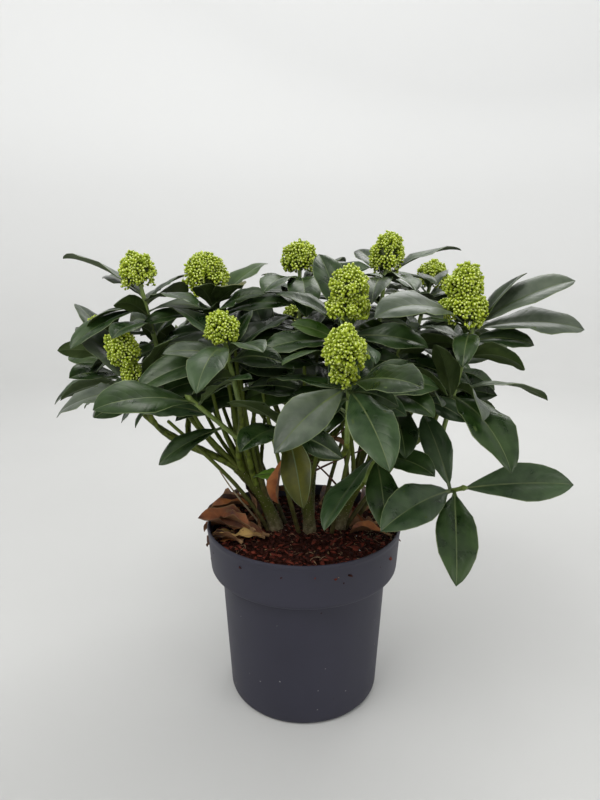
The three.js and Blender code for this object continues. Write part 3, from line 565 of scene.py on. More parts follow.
# Each shoot has its tip, the azimuth and the degrees of its lean, the length of its green twig and
# of its leaves (80 mm where it gives none), and the turn of its first leaf. "leaves" is how many the
# upper and the lower whorl have and how far down the lower one is, and "limb" is what the bough
# grows from and at which share of it. A head's lobes are each [width, height, azimuth, how far
# aside, how far up]. Led leaves are placed one by one, each [whorl, azimuth, rise, droop, length,
# roll].
SHOOTS = [{"size": 80, "head": [], "led": [], **own} for own in (
    {"name": "left_top", "tip": [-135, 10, 359], "lean": [175, 12], "twig": 60, "turn": 20,
     "leaves": [6, 6, 38], "limb": ["left", 0.98], "head": [[32, 34, 0, 0, 0]],
     "led": [[0, 155, 34, 28, 92, 22], [0, 130, 25, 25, 76, 0], [0, 320, 20, 40, 70, 0],
             [1, 255, 35, 60, 66, 0], [1, 80, 30, 30, 64, 0]]},
    {"name": "left_inner", "tip": [-78, 20, 348], "lean": [165, 12], "twig": 56, "turn": 70,
     "leaves": [6, 5, 34], "limb": ["left", 0.8], "head": [[38, 44, 0, 0, 4]],
     "led": [[0, 299, 30, 20, 68, 0], [0, 45, 50, 35, 74, 0], [0, 245, 40, 40, 62, 0]]},
    {"name": "left_front", "tip": [-60, -45, 323], "lean": [235, 16], "twig": 54, "turn": 140,
     "leaves": [6, 2, 34], "limb": ["left", 0.9], "head": [[28, 27, 0, 0, 0]],
     "led": [[0, 260, 15, 60, 76, 0], [0, 140, 40, 30, 70, 0], [0, 300, 30, 40, 64, 0]]},
    {"name": "left_low", "tip": [-134, -25, 286], "lean": [193, 18], "twig": 26, "turn": 30,
     "leaves": [4, 0, 34], "limb": ["left", 1], "head": [[27, 36, 0, 0, 15], [19, 22, 0, 0, 0]],
     "led": [[0, 155, 50, 25, 80, -24], [0, 330, 70, 40, 66, 0], [0, 175, 10, 50, 80, -22]]},
    {"name": "left_back", "tip": [-184, 62, 306], "lean": [160, 26], "twig": 52, "turn": 290,
     "leaves": [3, 3, 34], "limb": ["left", 0.88], "head": [[28, 30, 0, 0, 0]],
     "led": [[0, 135, 45, 25, 72, 0], [1, 245, 25, 30, 66, -20], [1, 155, 5, 35, 62, -20]]},
    {"name": "middle_top", "tip": [-4, 50, 369], "lean": [95, 8], "twig": 60, "turn": 300,
     "leaves": [6, 5, 36], "limb": ["middle", 1], "head": [[35, 33, 0, 0, 0]],
     "led": [[0, 275, 20, 80, 78, 0], [0, 245, 20, 45, 70, 0], [0, 50, 35, 35, 72, 0]]},
    {"name": "middle_front", "tip": [32, -40, 337], "lean": [285, 10], "twig": 58, "turn": 350,
     "leaves": [6, 5, 36], "limb": ["middle", 0.9], "head": [[31, 32, 0, 0, 14], [36, 24, 0, 0, 2]],
     "led": [[0, 115, 60, 20, 74, 0], [0, 145, 45, 40, 70, 0], [0, 40, 30, 50, 72, 0],
             [1, 225, 40, 60, 70, 0]]},
    {"name": "front_top", "tip": [31, -95, 305], "lean": [268, 22], "twig": 56, "turn": 35,
     "leaves": [6, 2, 34], "limb": ["middle", 0.78], "head": [[31, 36, 180, 3, 8], [20, 22, 200, 4, -4]],
     "led": [[0, 300, 25, 30, 78, 25], [0, 230, -5, 30, 82, -25], [0, 285, -5, 35, 84, 20],
             [0, 145, 15, 30, 74, 0], [1, 30, 10, 30, 84, 0]]},
    {"name": "right_top", "tip": [70, 35, 373], "lean": [50, 10], "twig": 60, "turn": 80,
     "leaves": [6, 5, 36], "limb": ["right", 0.86], "head": [[31, 44, 0, 0, -5]],
     "led": [[0, 110, 30, 15, 62, 0], [0, 15, 40, 40, 78, 0], [0, 255, 20, 60, 74, 0],
             [0, 285, 25, 50, 68, 0]]},
    {"name": "right_back", "tip": [120, 92, 356], "lean": [40, 22], "twig": 58, "turn": 125,
     "leaves": [6, 5, 36], "limb": ["back", 1], "head": [[30, 30, 0, 0, 0]],
     "led": [[0, 265, 40, 60, 72, 0]]},
    {"name": "right_front", "tip": [130, -36, 338], "lean": [350, 12], "twig": 100, "turn": 170,
     "leaves": [5, 3, 58], "limb": ["right", 0.98], "head": [[30, 36, 180, 15, 12], [39, 34, 180, 10, -5]],
     "led": [[0, 0, 38, 24, 84, 24], [0, 0, 16, 30, 88, 18], [0, 205, 46, 70, 94, -24],
             [0, 250, 20, 80, 52, 0], [0, 10, 60, 20, 66, 0], [1, 0, 24, 55, 78, 0],
             [1, 286, 4, 50, 94, 10], [1, 235, 70, 30, 62, 0]]},
    {"name": "right_low", "tip": [118, -72, 216], "lean": [300, 62], "twig": 44, "size": 84, "turn": 215,
     "leaves": [4, 0, 34], "limb": ["right", 0.72],
     "led": [[0, 0, 10, 14, 90, 40], [0, 260, -15, 25, 84, 0], [0, 225, 10, 25, 88, -40],
             [0, 100, 56, 18, 72, -20]]},
    {"name": "front_low", "tip": [57, -58, 240], "lean": [285, 40], "twig": 44, "turn": 90,
     "leaves": [4, 0, 30], "limb": ["right", 0.55],
     "led": [[0, 236, -10, 24, 84, 6], [0, 272, -12, 38, 70, 0], [0, 305, 25, 40, 64, 30]]},
    {"name": "left_hanging", "tip": [-84, -60, 281], "lean": [225, 48], "twig": 56, "turn": 305,
     "leaves": [3, 1, 40], "limb": ["left", 0.62],
     "led": [[0, 230, 25, 32, 88, -30], [0, 320, 45, 35, 66, 0], [0, 130, 30, 30, 56, 0],
             [1, 175, -20, 25, 66, -35]]},
    {"name": "middle_low", "tip": [-16, -48, 258], "lean": [250, 45], "twig": 40, "size": 72, "turn": 150,
     "leaves": [4, 0, 30], "limb": ["middle", 0.6],
     "led": [[0, 245, 20, 35, 70, -20], [0, 230, 45, 30, 72, 0], [0, 285, -30, 50, 68, 25],
             [0, 326, 7, 30, 62, 50]]},
    {"name": "back_left", "tip": [-92, 118, 305], "lean": [125, 26], "twig": 52, "turn": 350,
     "leaves": [7, 6, 34], "limb": ["back", 0.9], "head": [[32, 33, 0, 0, 0]]},
    {"name": "back_middle", "tip": [-6, 136, 309], "lean": [92, 22], "twig": 52, "turn": 35,
     "leaves": [7, 6, 34], "limb": ["back", 0.8], "head": [[34, 37, 0, 0, 0]]},
    {"name": "back_right", "tip": [76, 148, 290], "lean": [62, 30], "twig": 52, "turn": 80,
     "leaves": [7, 6, 34], "limb": ["back", 0.7], "head": [[30, 31, 0, 0, 0]]},
    {"name": "inner_left", "tip": [-30, -2, 318], "lean": [250, 10], "twig": 44, "turn": 110,
     "leaves": [6, 5, 34], "limb": ["middle", 0.84]},
    {"name": "inner_right", "tip": [78, -12, 316], "lean": [320, 12], "twig": 50, "turn": 160,
     "leaves": [6, 5, 34], "limb": ["right", 0.92]},
    {"name": "inner_back", "tip": [34, 88, 322], "lean": [80, 12], "twig": 44, "turn": 210,
     "leaves": [6, 4, 30], "limb": ["back", 0.96]},
    {"name": "outer_left", "tip": [-120, 76, 314], "lean": [140, 20], "twig": 44, "turn": 60,
     "leaves": [6, 4, 30], "limb": ["left_back", 0.4]},
    {"name": "outer_right", "tip": [130, 46, 292], "lean": [60, 24], "twig": 44, "size": 68, "turn": 330,
     "leaves": [4, 1, 30], "limb": ["right", 0.66]},
)]


# The unit vector at an azimuth from +X and a rise over the level, in degrees.
def heading(azimuth, rise):
    a, r = math.radians(azimuth), math.radians(rise)
    return np.array([math.cos(r) * math.cos(a), math.cos(r) * math.sin(a), math.sin(r)])


def shoot_axis(shoot):
    return heading(shoot["lean"][0], 90 - shoot["lean"][1])


# The line of a limb that leaves another one, heading half its way, and ends along its own axis.
def branch_line(start, leaving, end, axis, springs):
    reach = springs * np.linalg.norm(end - start)
    leave = unit(leaving + unit(end - start))
    return limb_line([start, start + leave * reach, end - axis * reach, end])


# Scars ring a limb at uneven steps, and it swells where it leaves its parent.
def scarred(radius, tip, length, swelling):
    def at(share):
        along = share * length
        scar = math.exp(-(((along + 2 * math.sin(along / 5)) % SCAR_STEP - 4) / SCAR_HALF) ** 2)
        swell = swelling * math.exp(-along / SWELLING_LENGTH)
        return (radius + (tip - radius) * share) * (1 + SCAR_HEIGHT * scar + swell)
    return at


green_bark = grained_finish("green_bark", (0.048, 0.064, 0.007), (0.155, 0.2, 0.026), 5, (0.4, 0.65),
                            1.0, 0.25, Specular_IOR_Level=0.25)
bough_skins = []
for number, shoot in enumerate(SHOOTS):
    parent, along = shoot["limb"]
    axis = shoot_axis(shoot)
    end = np.array(shoot["tip"]) - axis * shoot["twig"]
    line = branch_line(*lines[parent][0](along), end, axis, BOUGH_SPRINGS)
    lines[shoot["name"]] = line
    radius = scarred(BOUGH_RADIUS, BOUGH_TIP, line[1], BOUGH_SWELLS)
    bough_skins.append(limb_skin(line, radius, 14, 44, BOUGH_RELIEF, number))
boughs = solid_piece("boughs", *joined(bough_skins), [green_bark], sharp=70)
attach(boughs, "root")
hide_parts(*("bough_" + shoot["name"] for shoot in SHOOTS))

# ---------------------------------------------------------------- inner shoots
# Thinner and older shoots that rise inside the crown between the others, brown at the foot. They
# bear no panicle, and their leaves fill the crown from within.

INNER_COUNT, INNER_TRIES, INNER_TURN, INNER_SHIFT = 26, 30, 2.4, 0.6
INNER_SPRINGS, INNER_UPWARD, INNER_FROM, INNER_TO = 0.36, 1.2, 0.25, 0.85
INNER_RADIUS, INNER_TIP, INNER_ROOM, INNER_SWELLS, INNER_RELIEF = 2.1, 1.3, 0.5, 0.2, 0.07
INNER_CENTRE, INNER_REACH, INNER_HEIGHT = (0, 22), (118, 84), (250, 318)
LED_ENDS = [(-118, 10, 280), (-106, -26, 284), (-92, 24, 290), (-78, -20, 290), (-62, 40, 296),
            (-50, -28, 290), (-36, 10, 300), (-84, 6, 276), (104, 10, 280), (90, -28, 284),
            (76, 30, 290), (60, -34, 288)]


# A repeatable number from 0 to 1 for any list of whole numbers.
def chance(*keys):
    h = 2166136261
    for key in keys:
        h = ((h ^ key) * 16777619) & 0xFFFFFFFF
    h ^= h >> 15
    h = (h * 2246822507) & 0xFFFFFFFF
    h ^= h >> 13
    return h / 4294967296


# A repeatable number from minus a reach to plus that reach.
def spread(reach, *keys):
    return reach * (2 * chance(*keys) - 1)


# A surface to keep clear of: the box it fills and its faces.
def surface_of(points, faces):
    points = np.array(points, float)
    return points.min(axis=0), points.max(axis=0), BVHTree.FromPolygons(points.tolist(), faces)


def is_clear(surface, others):
    low, high, tree = surface
    return not any((low < other_high).all() and (other_low < high).all() and tree.overlap(other)
                   for other_low, other_high, other in others)


# Where an inner shoot ends at one of its tries: near its led place, or by a turn of its own.
def inner_end(number, tries):
    if number < len(LED_ENDS):
        aside = np.array([spread(1, number, tries, axis) for axis in (4, 5, 6)])
        return LED_ENDS[number] + INNER_SHIFT * tries * aside
    turn, out = INNER_TURN * number + spread(0.5, number, tries), math.sqrt(chance(number, tries, 1))
    return np.array([INNER_CENTRE[0] + INNER_REACH[0] * out * math.cos(turn),
                     INNER_CENTRE[1] + INNER_REACH[1] * out * math.sin(turn),
                     INNER_HEIGHT[0] + (INNER_HEIGHT[1] - INNER_HEIGHT[0]) * chance(number, tries, 2)])


in_the_way = [surface_of([corner.co / MM for corner in node.data.vertices],
                         [face.vertices[:] for face in node.data.polygons])
              for node in frame["nodes"].values()]
old_bark = rising_finish("inner_shoot_bark", (0.055, 0.042, 0.012), (0.14, 0.105, 0.042),
                         (0.08, 0.108, 0.013), 165, 235, Specular_IOR_Level=0.2)
inner_shoots, inner_skins = [], []
for number in range(len(LED_ENDS) + INNER_COUNT):
    for tries in range(INNER_TRIES):
        end = inner_end(number, tries)
        parent = min(STEMS, key=lambda name: math.dist(STEMS[name]["top"][:2], end[:2]))
        start, leaving = lines[parent][0](INNER_FROM + (INNER_TO - INNER_FROM) * chance(number, tries, 3))
        axis = unit(unit(end - start) + np.array([0, 0, INNER_UPWARD]))
        line = branch_line(start, leaving, end, axis, INNER_SPRINGS)
        free = limb_line([line[0](0.3)[0], line[0](0.5)[0], line[0](0.75)[0], end])
        roomy = limb_skin(free, lambda share: INNER_RADIUS + INNER_ROOM, 6, 12, 0, 0)
        if is_clear(surface_of(*roomy), in_the_way):
            radius = scarred(INNER_RADIUS, INNER_TIP, line[1], INNER_SWELLS)
            inner_skins.append(limb_skin(line, radius, 10, 40, INNER_RELIEF, number))
            in_the_way.append(surface_of(*limb_skin(free, lambda share: INNER_RADIUS, 6, 12, 0, 0)))
            inner_shoots.append({"tip": end, "axis": axis, "parent": parent})
            break
inner = solid_piece("inner_shoots", *joined(inner_skins), [old_bark], sharp=70)
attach(inner, "root")

# ---------------------------------------------------------------- twigs
# This year's growth: a straight green twig on each bough, on into the panicle where the shoot
# bears one, and otherwise ending in a small pointed bud.

TWIG_RADIUS, TWIG_TIP, TWIG_RELIEF, INTO_THE_HEAD, TO_THE_BUD = 2.0, 1.7, 0.04, 6, 2
BUD_LENGTH, BUD_LEAST, BUD_SWELLS, BUD_RELIEF = 6, 0.3, 1.9, 0.1


# The radius of a pointed bud, which is broadest a third of the way up.
def bud_radius(share):
    return BUD_LEAST + BUD_SWELLS * math.sin(math.pi * (0.25 + 0.72 * share)) ** 1.3


twig_green = grained_finish("twig_green", (0.11, 0.16, 0.03), (0.2, 0.28, 0.06), 8, (0.35, 0.5), 1.5, 0.06)
twig_skins = []
for number, shoot in enumerate(SHOOTS):
    axis, tip = shoot_axis(shoot), np.array(shoot["tip"], float)
    top = tip + axis * (INTO_THE_HEAD if shoot["head"] else TO_THE_BUD)
    line = limb_line([tip - axis * (shoot["twig"] + 1), top])
    radius = scarred(TWIG_RADIUS, TWIG_TIP, line[1], 0)
    twig_skins.append(limb_skin(line, radius, 12, 40, TWIG_RELIEF, number))
    if not shoot["head"]:
        line = limb_line([top - axis, top + axis * BUD_LENGTH])
        twig_skins.append(limb_skin(line, bud_radius, 10, 9, BUD_RELIEF, number))
twigs = solid_piece("twigs", *joined(twig_skins), [twig_green], sharp=70)
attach(twigs, "root")

# ---------------------------------------------------------------- leaves
# Leathery evergreen leaves in whorls near the top of each shoot, folded a little along a pale
# midrib and drooping to a point. Dark and glossy above, paler and matter below.

LEAF_WIDTH, LEAF_FOLD, LEAF_STEPS, LEAF_SWEEP, LOWEST_RISE = 0.34, 0.15, 20, 16, -18
BROADEST, BLUNTNESS, PETIOLE_HALF, PETIOLE_SHARE = 1.12, 0.85, 1.4, 0.06
CAD_STATIONS, CAD_THICKNESS, CAD_WITHIN, CAD_CORNERS = (3, 9, 15), 0.015, 0.05, 5
GOLDEN_ANGLE, WHORL_PLACES, WHORL_TURN = 137.508, 16, 60
UNEVEN_OPEN, UNEVEN_DROOP, UNEVEN_LENGTH, UNEVEN_ROLL = 7, 14, 0.13, 14
UPPER = {"below": 5, "pitch": 2.2, "open": 56, "step": 5, "share": 0.92, "droop": 30, "least": 36}
LOWER = {"pitch": 3.4, "open": 76, "step": 4, "share": 1, "droop": 26, "least": 44}
FACING_HEART, FACING_SHARE, FACING_MOST = (0, 90, 230), 0.7, 55
ASIDE_TRIES, ASIDE_TURN, ASIDE_TILT, ASIDE_SHORTER = 7, 9, 8, 0.035
TURNED_ON_THEIR_STALKS = {("front_low", 0, 50): 26, ("right_front", 0, 52): 12}
FIRST_LED = 50


def rolled(vector, axis, degrees):
    a = math.radians(degrees)
    return (vector * math.cos(a) + np.cross(axis, vector) * math.sin(a)
            + axis * np.dot(axis, vector) * (1 - math.cos(a)))


# The midline's points and headings, step by step from the twig to the tip.
def midline(leaf):
    headings = [heading(leaf["azimuth"] + leaf["sweep"] * share, leaf["rise"] - leaf["droop"] * share)
                for share in (np.arange(LEAF_STEPS) + 0.5) / LEAF_STEPS]
    steps = np.cumsum(headings, axis=0) * leaf["length"] / LEAF_STEPS
    return leaf["root"] + np.vstack([[(0, 0, 0)], steps]), headings


def half_width(leaf, share, broadest=BROADEST, bluntness=BLUNTNESS):
    blade = min(max((share - PETIOLE_SHARE) / (1 - PETIOLE_SHARE), 0), 1)
    outline = math.sin(math.pi * blade ** broadest) ** bluntness if 0 < blade < 1 else 0
    return max(0.5 * LEAF_WIDTH * leaf["length"] * outline, PETIOLE_HALF * (1 - share))


# Where a step of the leaf is: its midpoint, the way to its right edge, and up from its face.
def leaf_station(leaf, line, step):
    points, headings = line
    forward = headings[min(step, LEAF_STEPS - 1)]
    side = rolled(heading(leaf["azimuth"] + leaf["sweep"] * step / LEAF_STEPS - 90, 0), forward, leaf["roll"])
    return points[step], side, np.cross(side, forward)


# The corners that the leaf has as a plain solid.
def plain_corners(leaf):
    line = midline(leaf)
    corners = [line[0][LEAF_STEPS]]
    for step in CAD_STATIONS:
        point, side, up = leaf_station(leaf, line, step)
        half, thick = half_width(leaf, step / LEAF_STEPS), 0.5 * CAD_THICKNESS * leaf["length"]
        corners += [point + side * half + up * LEAF_FOLD * half, point - up * thick,
                    point - side * half + up * LEAF_FOLD * half, point + up * thick]
    return corners


# A leaf on its first try is as it is, and on later ones turned and tilted aside, and a bit shorter.
def turned_aside(leaf, tries):
    if not tries:
        return leaf
    side = 1 if tries % 2 else -1
    tilt = (ASIDE_TILT if tries > 2 else 0) * side
    return {**leaf, "azimuth": leaf["azimuth"] + ASIDE_TURN * side * math.ceil(tries / 2),
            "rise": max(leaf["rise"] + tilt, LOWEST_RISE),
            "length": leaf["length"] * (1 - ASIDE_SHORTER * tries)}


# The leaf as it grew on the shoot's solid, turned aside or not, or None where it had no room.
def as_grown(leaf, solid_corners):
    for tried in (turned_aside(leaf, tries) for tries in range(ASIDE_TRIES)):
        away = [solid_corners.find(Vector(corner * MM))[2] for corner in plain_corners(tried)]
        if sum(far < CAD_WITHIN * MM for far in away) >= CAD_CORNERS:
            return tried
    return None


def turn_between(a, b):
    return abs((a - b + 180) % 360 - 180)


# The roll that turns a blade's face outward from the heart of the crown, as far as it does.
def facing_roll(root, azimuth, rise):
    side = heading(azimuth - 90, 0)
    up = np.cross(side, heading(azimuth, rise))
    out = root - np.array(FACING_HEART, float)
    fully = math.degrees(math.atan2(np.dot(out, side), np.dot(out, up)))
    return min(max(fully * FACING_SHARE, -FACING_MOST), FACING_MOST)


# One whorl about an axis: its led leaves, then others by the golden angle wherever there is room.
def whorl_leaves(root_at, axis, turn_of_first, size, keys, whorl, count, led=()):
    u, v = across(axis)
    leaves, turns = [], []
    for azimuth, rise, droop, length, roll in led:
        direction = heading(azimuth, rise)
        leaves.append({"root": root_at(len(leaves)), "azimuth": azimuth, "rise": max(rise, LOWEST_RISE),
                       "droop": droop, "length": length, "roll": roll, "sweep": 0,
                       "keys": (*keys, FIRST_LED + len(leaves))})
        turns.append(math.degrees(math.atan2(np.dot(direction, v), np.dot(direction, u))))
    for place in range(WHORL_PLACES):
        turn = turn_of_first + GOLDEN_ANGLE * place
        if len(leaves) >= count or any(turn_between(turn, other) < whorl["least"] for other in turns):
            continue
        own = (*keys, place)
        away = math.radians(whorl["open"] + whorl["step"] * len(leaves) + spread(UNEVEN_OPEN, *own))
        out = u * math.cos(math.radians(turn)) + v * math.sin(math.radians(turn))
        direction = axis * math.cos(away) + out * math.sin(away)
        root = root_at(len(leaves))
        azimuth = math.degrees(math.atan2(direction[1], direction[0]))
        rise = math.degrees(math.asin(direction[2]))
        leaves.append({"root": root, "azimuth": azimuth, "rise": max(rise, LOWEST_RISE),
                       "droop": whorl["droop"] + spread(UNEVEN_DROOP, *own, 3),
                       "length": size * whorl["share"] * (1 + spread(UNEVEN_LENGTH, *own, 2)),
                       "roll": facing_roll(root, azimuth, rise) + spread(UNEVEN_ROLL, *own, 4),
                       "sweep": spread(LEAF_SWEEP, *own, 1), "keys": own})
        turns.append(turn)
    return leaves


grown_leaves = []
for number, shoot in enumerate(SHOOTS):
    solid = frame["nodes"]["foliage_" + shoot["name"]].data
    corners = KDTree(len(solid.vertices))
    for vertex in solid.vertices:
        corners.insert(vertex.co, vertex.index)
    corners.balance()
    axis, tip = shoot_axis(shoot), np.array(shoot["tip"], float)
    for tier, whorl in enumerate((UPPER, {**LOWER, "below": shoot["leaves"][2]})):
        led = [row[1:] for row in shoot["led"] if row[0] == tier]
        for leaf in whorl_leaves(lambda place: tip - axis * (whorl["below"] + whorl["pitch"] * place), axis,
                                 shoot["turn"] + WHORL_TURN * tier, shoot["size"], (number, tier), whorl,
                                 shoot["leaves"][tier], led):
            leaf = as_grown(leaf, corners)
            if leaf:
                more = TURNED_ON_THEIR_STALKS.get((shoot["name"], *leaf["keys"][1:]), 0)
                grown_leaves.append({**leaf, "shoot": shoot["name"], "roll": leaf["roll"] + more})

# Leaves that fill the crown: short upright ones round the shoots' tips, older ones lower on the
# same shoots, and those of the inner shoots. One that finds no room is turned aside or left out,
# and none grows across a panicle's front or lower than the crown does.
FILLING = [
    {"below": 9, "pitch": 2.6, "open": 44, "step": 6, "share": 0.62, "droop": 38, "least": 50, "count": 6},
    {"below": 24, "pitch": 2.8, "open": 50, "step": 5, "share": 0.84, "droop": 42, "least": 50, "count": 6},
    {"below": 42, "pitch": 3.0, "open": 56, "step": 5, "share": 0.9, "droop": 40, "least": 50, "count": 6},
]
INNER_WHORLS = [
    {"below": 2, "pitch": 2.0, "open": 40, "step": 7, "share": 0.95, "droop": 46, "least": 44, "count": 6},
    {"below": 20, "pitch": 2.6, "open": 62, "step": 5, "share": 1, "droop": 40, "least": 50, "count": 5},
]
INNER_LEAF, UNDERSIDE, UNDERSIDE_SLOPE, BLADE_ROOM = 72, 252, -0.3, 0.9
FILLING_TURN, INNER_LEAF_TURN, LOBE_RISE = 70, 50, 0.42


# The coarse surface of a blade, a little fuller than the leaf itself.
def plain_blade(leaf):
    line = midline(leaf)
    points, faces = [], []
    for row, step in enumerate(range(3, LEAF_STEPS + 1, 3)):
        point, side, up = leaf_station(leaf, line, step)
        half = half_width(leaf, step / LEAF_STEPS)
        for layer in (BLADE_ROOM, -BLADE_ROOM):
            points += [point + side * half + up * (LEAF_FOLD * half + layer), point + up * layer,
                       point - side * half + up * (LEAF_FOLD * half + layer)]
        if row:
            faces += [(b - 6, b - 5, b + 1, b) for b in (6 * row + corner for corner in (0, 1, 3, 4))]
    return points, faces


# The middle of a lobe of a shoot's head.
def lobe_middle(shoot, lobe):
    width, height, azimuth, aside, up = lobe
    up += LOBE_RISE * height
    return np.array(shoot["tip"]) + shoot_axis(shoot) * up + heading(azimuth, 0) * aside


PANICLE_MARKS = ((0, 0), (0.35, 0), (-0.35, 0), (0, 0.35), (0, -0.3), (0.25, 0.25), (-0.25, 0.25))
panicle_places = [lobe_middle(shoot, lobe) + np.array([x * lobe[0], 0, z * lobe[1]])
                  for shoot in SHOOTS if not shoot["name"].startswith("back_")
                  for lobe in shoot["head"] for x, z in PANICLE_MARKS]
front_eye = np.array(camera.location) / MM


def hides_panicle(tree):
    ways = (place - front_eye for place in panicle_places)
    return any(tree.ray_cast(Vector(front_eye), Vector(way), np.linalg.norm(way))[0] for way in ways)


# The leaf itself, or turned aside until it has room, or None.
def with_room(leaf):
    for tried in (turned_aside(leaf, tries) for tries in range(ASIDE_TRIES)):
        surface = surface_of(*plain_blade(tried))
        underside = UNDERSIDE + UNDERSIDE_SLOPE * tried["root"][1]
        if surface[0][2] > underside and is_clear(surface, in_the_way) and not hides_panicle(surface[2]):
            in_the_way.append(surface)
            return tried
    return None


# The place on a shoot some way below its tip, on its twig or its bough.
def below_tip(shoot, far):
    if far < shoot["twig"]:
        return np.array(shoot["tip"]) - shoot_axis(shoot) * far
    at, length = lines[shoot["name"]]
    return at(max(1 - (far - shoot["twig"]) / length, 0.3))[0]


filling_leaves = []


# Adds the leaves of one whorl that find room, as the shoot's own.
def fill_whorl(name, keys, whorl, root_at, axis, turn, size):
    for leaf in map(with_room, whorl_leaves(root_at, axis, turn, size, keys, whorl, whorl["count"])):
        if leaf:
            filling_leaves.append({**leaf, "shoot": name})


for number, shoot in enumerate(SHOOTS):
    for tier, whorl in enumerate(FILLING, 2):
        fill_whorl(shoot["name"], (number, tier), whorl,
                   lambda place: below_tip(shoot, whorl["below"] + whorl["pitch"] * place),
                   shoot_axis(shoot), shoot["turn"] + FILLING_TURN * tier, shoot["size"])
for number, shoot in enumerate(inner_shoots, len(SHOOTS)):
    for tier, whorl in enumerate(INNER_WHORLS):
        fill_whorl(shoot["parent"] + "_", (number, tier), whorl,
                   lambda place: shoot["tip"] - shoot["axis"] * (whorl["below"] + whorl["pitch"] * place),
                   shoot["axis"], INNER_LEAF_TURN * number, INNER_LEAF)

# How far across a half blade its rows of points are, from the midrib to the edge, and the steps
# along it that have a row.
ACROSS = (0, 0.3, 0.6, 0.86, 0.965, 1)
ROWS = (0, 1, 2, 3, 5, 7, 9, 11, 13, 15, 17, 18, 19, 20)
ABOVE, BELOW, RIB, EDGE = range(4)
STALK_SHARE, STALK_DEEP, RIB_HALF, RIB_THINS, SUNK_ABOVE, SUNK_BELOW = 0.14, 1.6, 0.75, 0.75, 0.25, 0.45
BLADE_THINS, EDGE_THINS, TIP_NODS, NODS_FROM, LEAF_TWIST = 0.35, 0.55, 0.5, 0.8, 26


# A leaf of true thickness as points, faces, the kind of each face, and the place of each point
# across and along the blade. Each half of it is folded up from the rib and bulges a little, a dry
# one curls, its edges ripple, it twists toward the tip and the tip itself nods.
def blade(leaf, fold=LEAF_FOLD, wave=1.0, thick=0.5, width=1.06, curl=0.0, bulge=0.1):
    line, own = midline(leaf), leaf["keys"]
    points, places = [], []
    waves, phase = 2 + 1.5 * chance(*own, 5), 6.3 * chance(*own, 6)
    fold = fold * (1 + spread(0.6, *own, 7))
    ripple, twist = 0.008 + 0.018 * chance(*own, 8), spread(LEAF_TWIST, *own, 10)
    broadest, bluntness = BROADEST + 0.24 * chance(*own, 11), BLUNTNESS - 0.17 * chance(*own, 12)
    for step in ROWS:
        share = step / LEAF_STEPS
        point, side, up = leaf_station(leaf, line, step)
        side, up = (rolled(way, np.cross(up, side), twist * share ** 1.5) for way in (side, up))
        half = half_width(leaf, share, broadest, bluntness) * (width if share > 0.1 else 1)
        stalk = max(0, 1 - share / STALK_SHARE)
        rib = min(RIB_HALF * half, RIB_HALF * (1 - RIB_THINS * share))
        deep = thick * (1 - BLADE_THINS * share) + STALK_DEEP * stalk
        nod = TIP_NODS * leaf["length"] * max(0, share - NODS_FROM) ** 2
        for face, sign in ((1, -1), (1, 1), (-1, -1), (-1, 1)):
            for part in ACROSS if sign > 0 else ACROSS[::-1]:
                out = rib + (half - rib) * part
                lift = fold * out * (1.25 - 0.25 * part) + bulge * half * math.sin(math.pi * part)
                lift += curl * out * part * (1 + 0.5 * math.sin(phase + 5 * share))
                lift += 0.3 * bulge * half * part * math.sin(9 * share + 2 * phase + sign)
                lift += wave * ripple * leaf["length"] * part ** 2 * math.sin(
                    2 * math.pi * waves * share + phase + sign) * (1 - stalk) * math.sin(math.pi * share)
                edge = 0.5 * deep * (1 - EDGE_THINS * part ** 3)
                sunk = (SUNK_ABOVE if face > 0 else SUNK_BELOW) * (part == 0) * (1 - stalk) * thick
                points.append(point + side * sign * out + up * (lift - nod + face * edge - sunk))
                places.append((0.5 + 0.5 * sign * out / max(half, 0.01), share))
    columns, middle = 2 * len(ACROSS), len(ACROSS) - 1
    faces, kinds = [], []
    for row in range(len(ROWS) - 1):
        a = row * 2 * columns
        b = a + 2 * columns
        for c in range(columns - 1):
            ribbed = c == middle or ROWS[row] < 2
            faces += [(a + c, a + c + 1, b + c + 1, b + c),
                      (a + columns + c + 1, a + columns + c, b + columns + c, b + columns + c + 1)]
            kinds += [RIB if ribbed else EDGE if c in (0, columns - 2) else ABOVE, RIB if ribbed else BELOW]
        faces.append((a, b, b + columns, a + columns))
        a, b = a + columns - 1, b + columns - 1
        faces.append((a + columns, b + columns, b, a))
        kinds += [EDGE, EDGE]
    for row in (0, len(ROWS) - 1):
        for a in range(row * 2 * columns, row * 2 * columns + columns - 1):
            end = (a, a + columns, a + columns + 1, a + 1)
            faces.append(tuple(reversed(end)) if row else end)
            kinds.append(RIB)
    return points, faces, kinds, places


VEIN_PAIRS, VEIN_SLANT, VEIN_BREADTH, VEIN_DEPTH = 11, 4.5, 0.35, 0.25


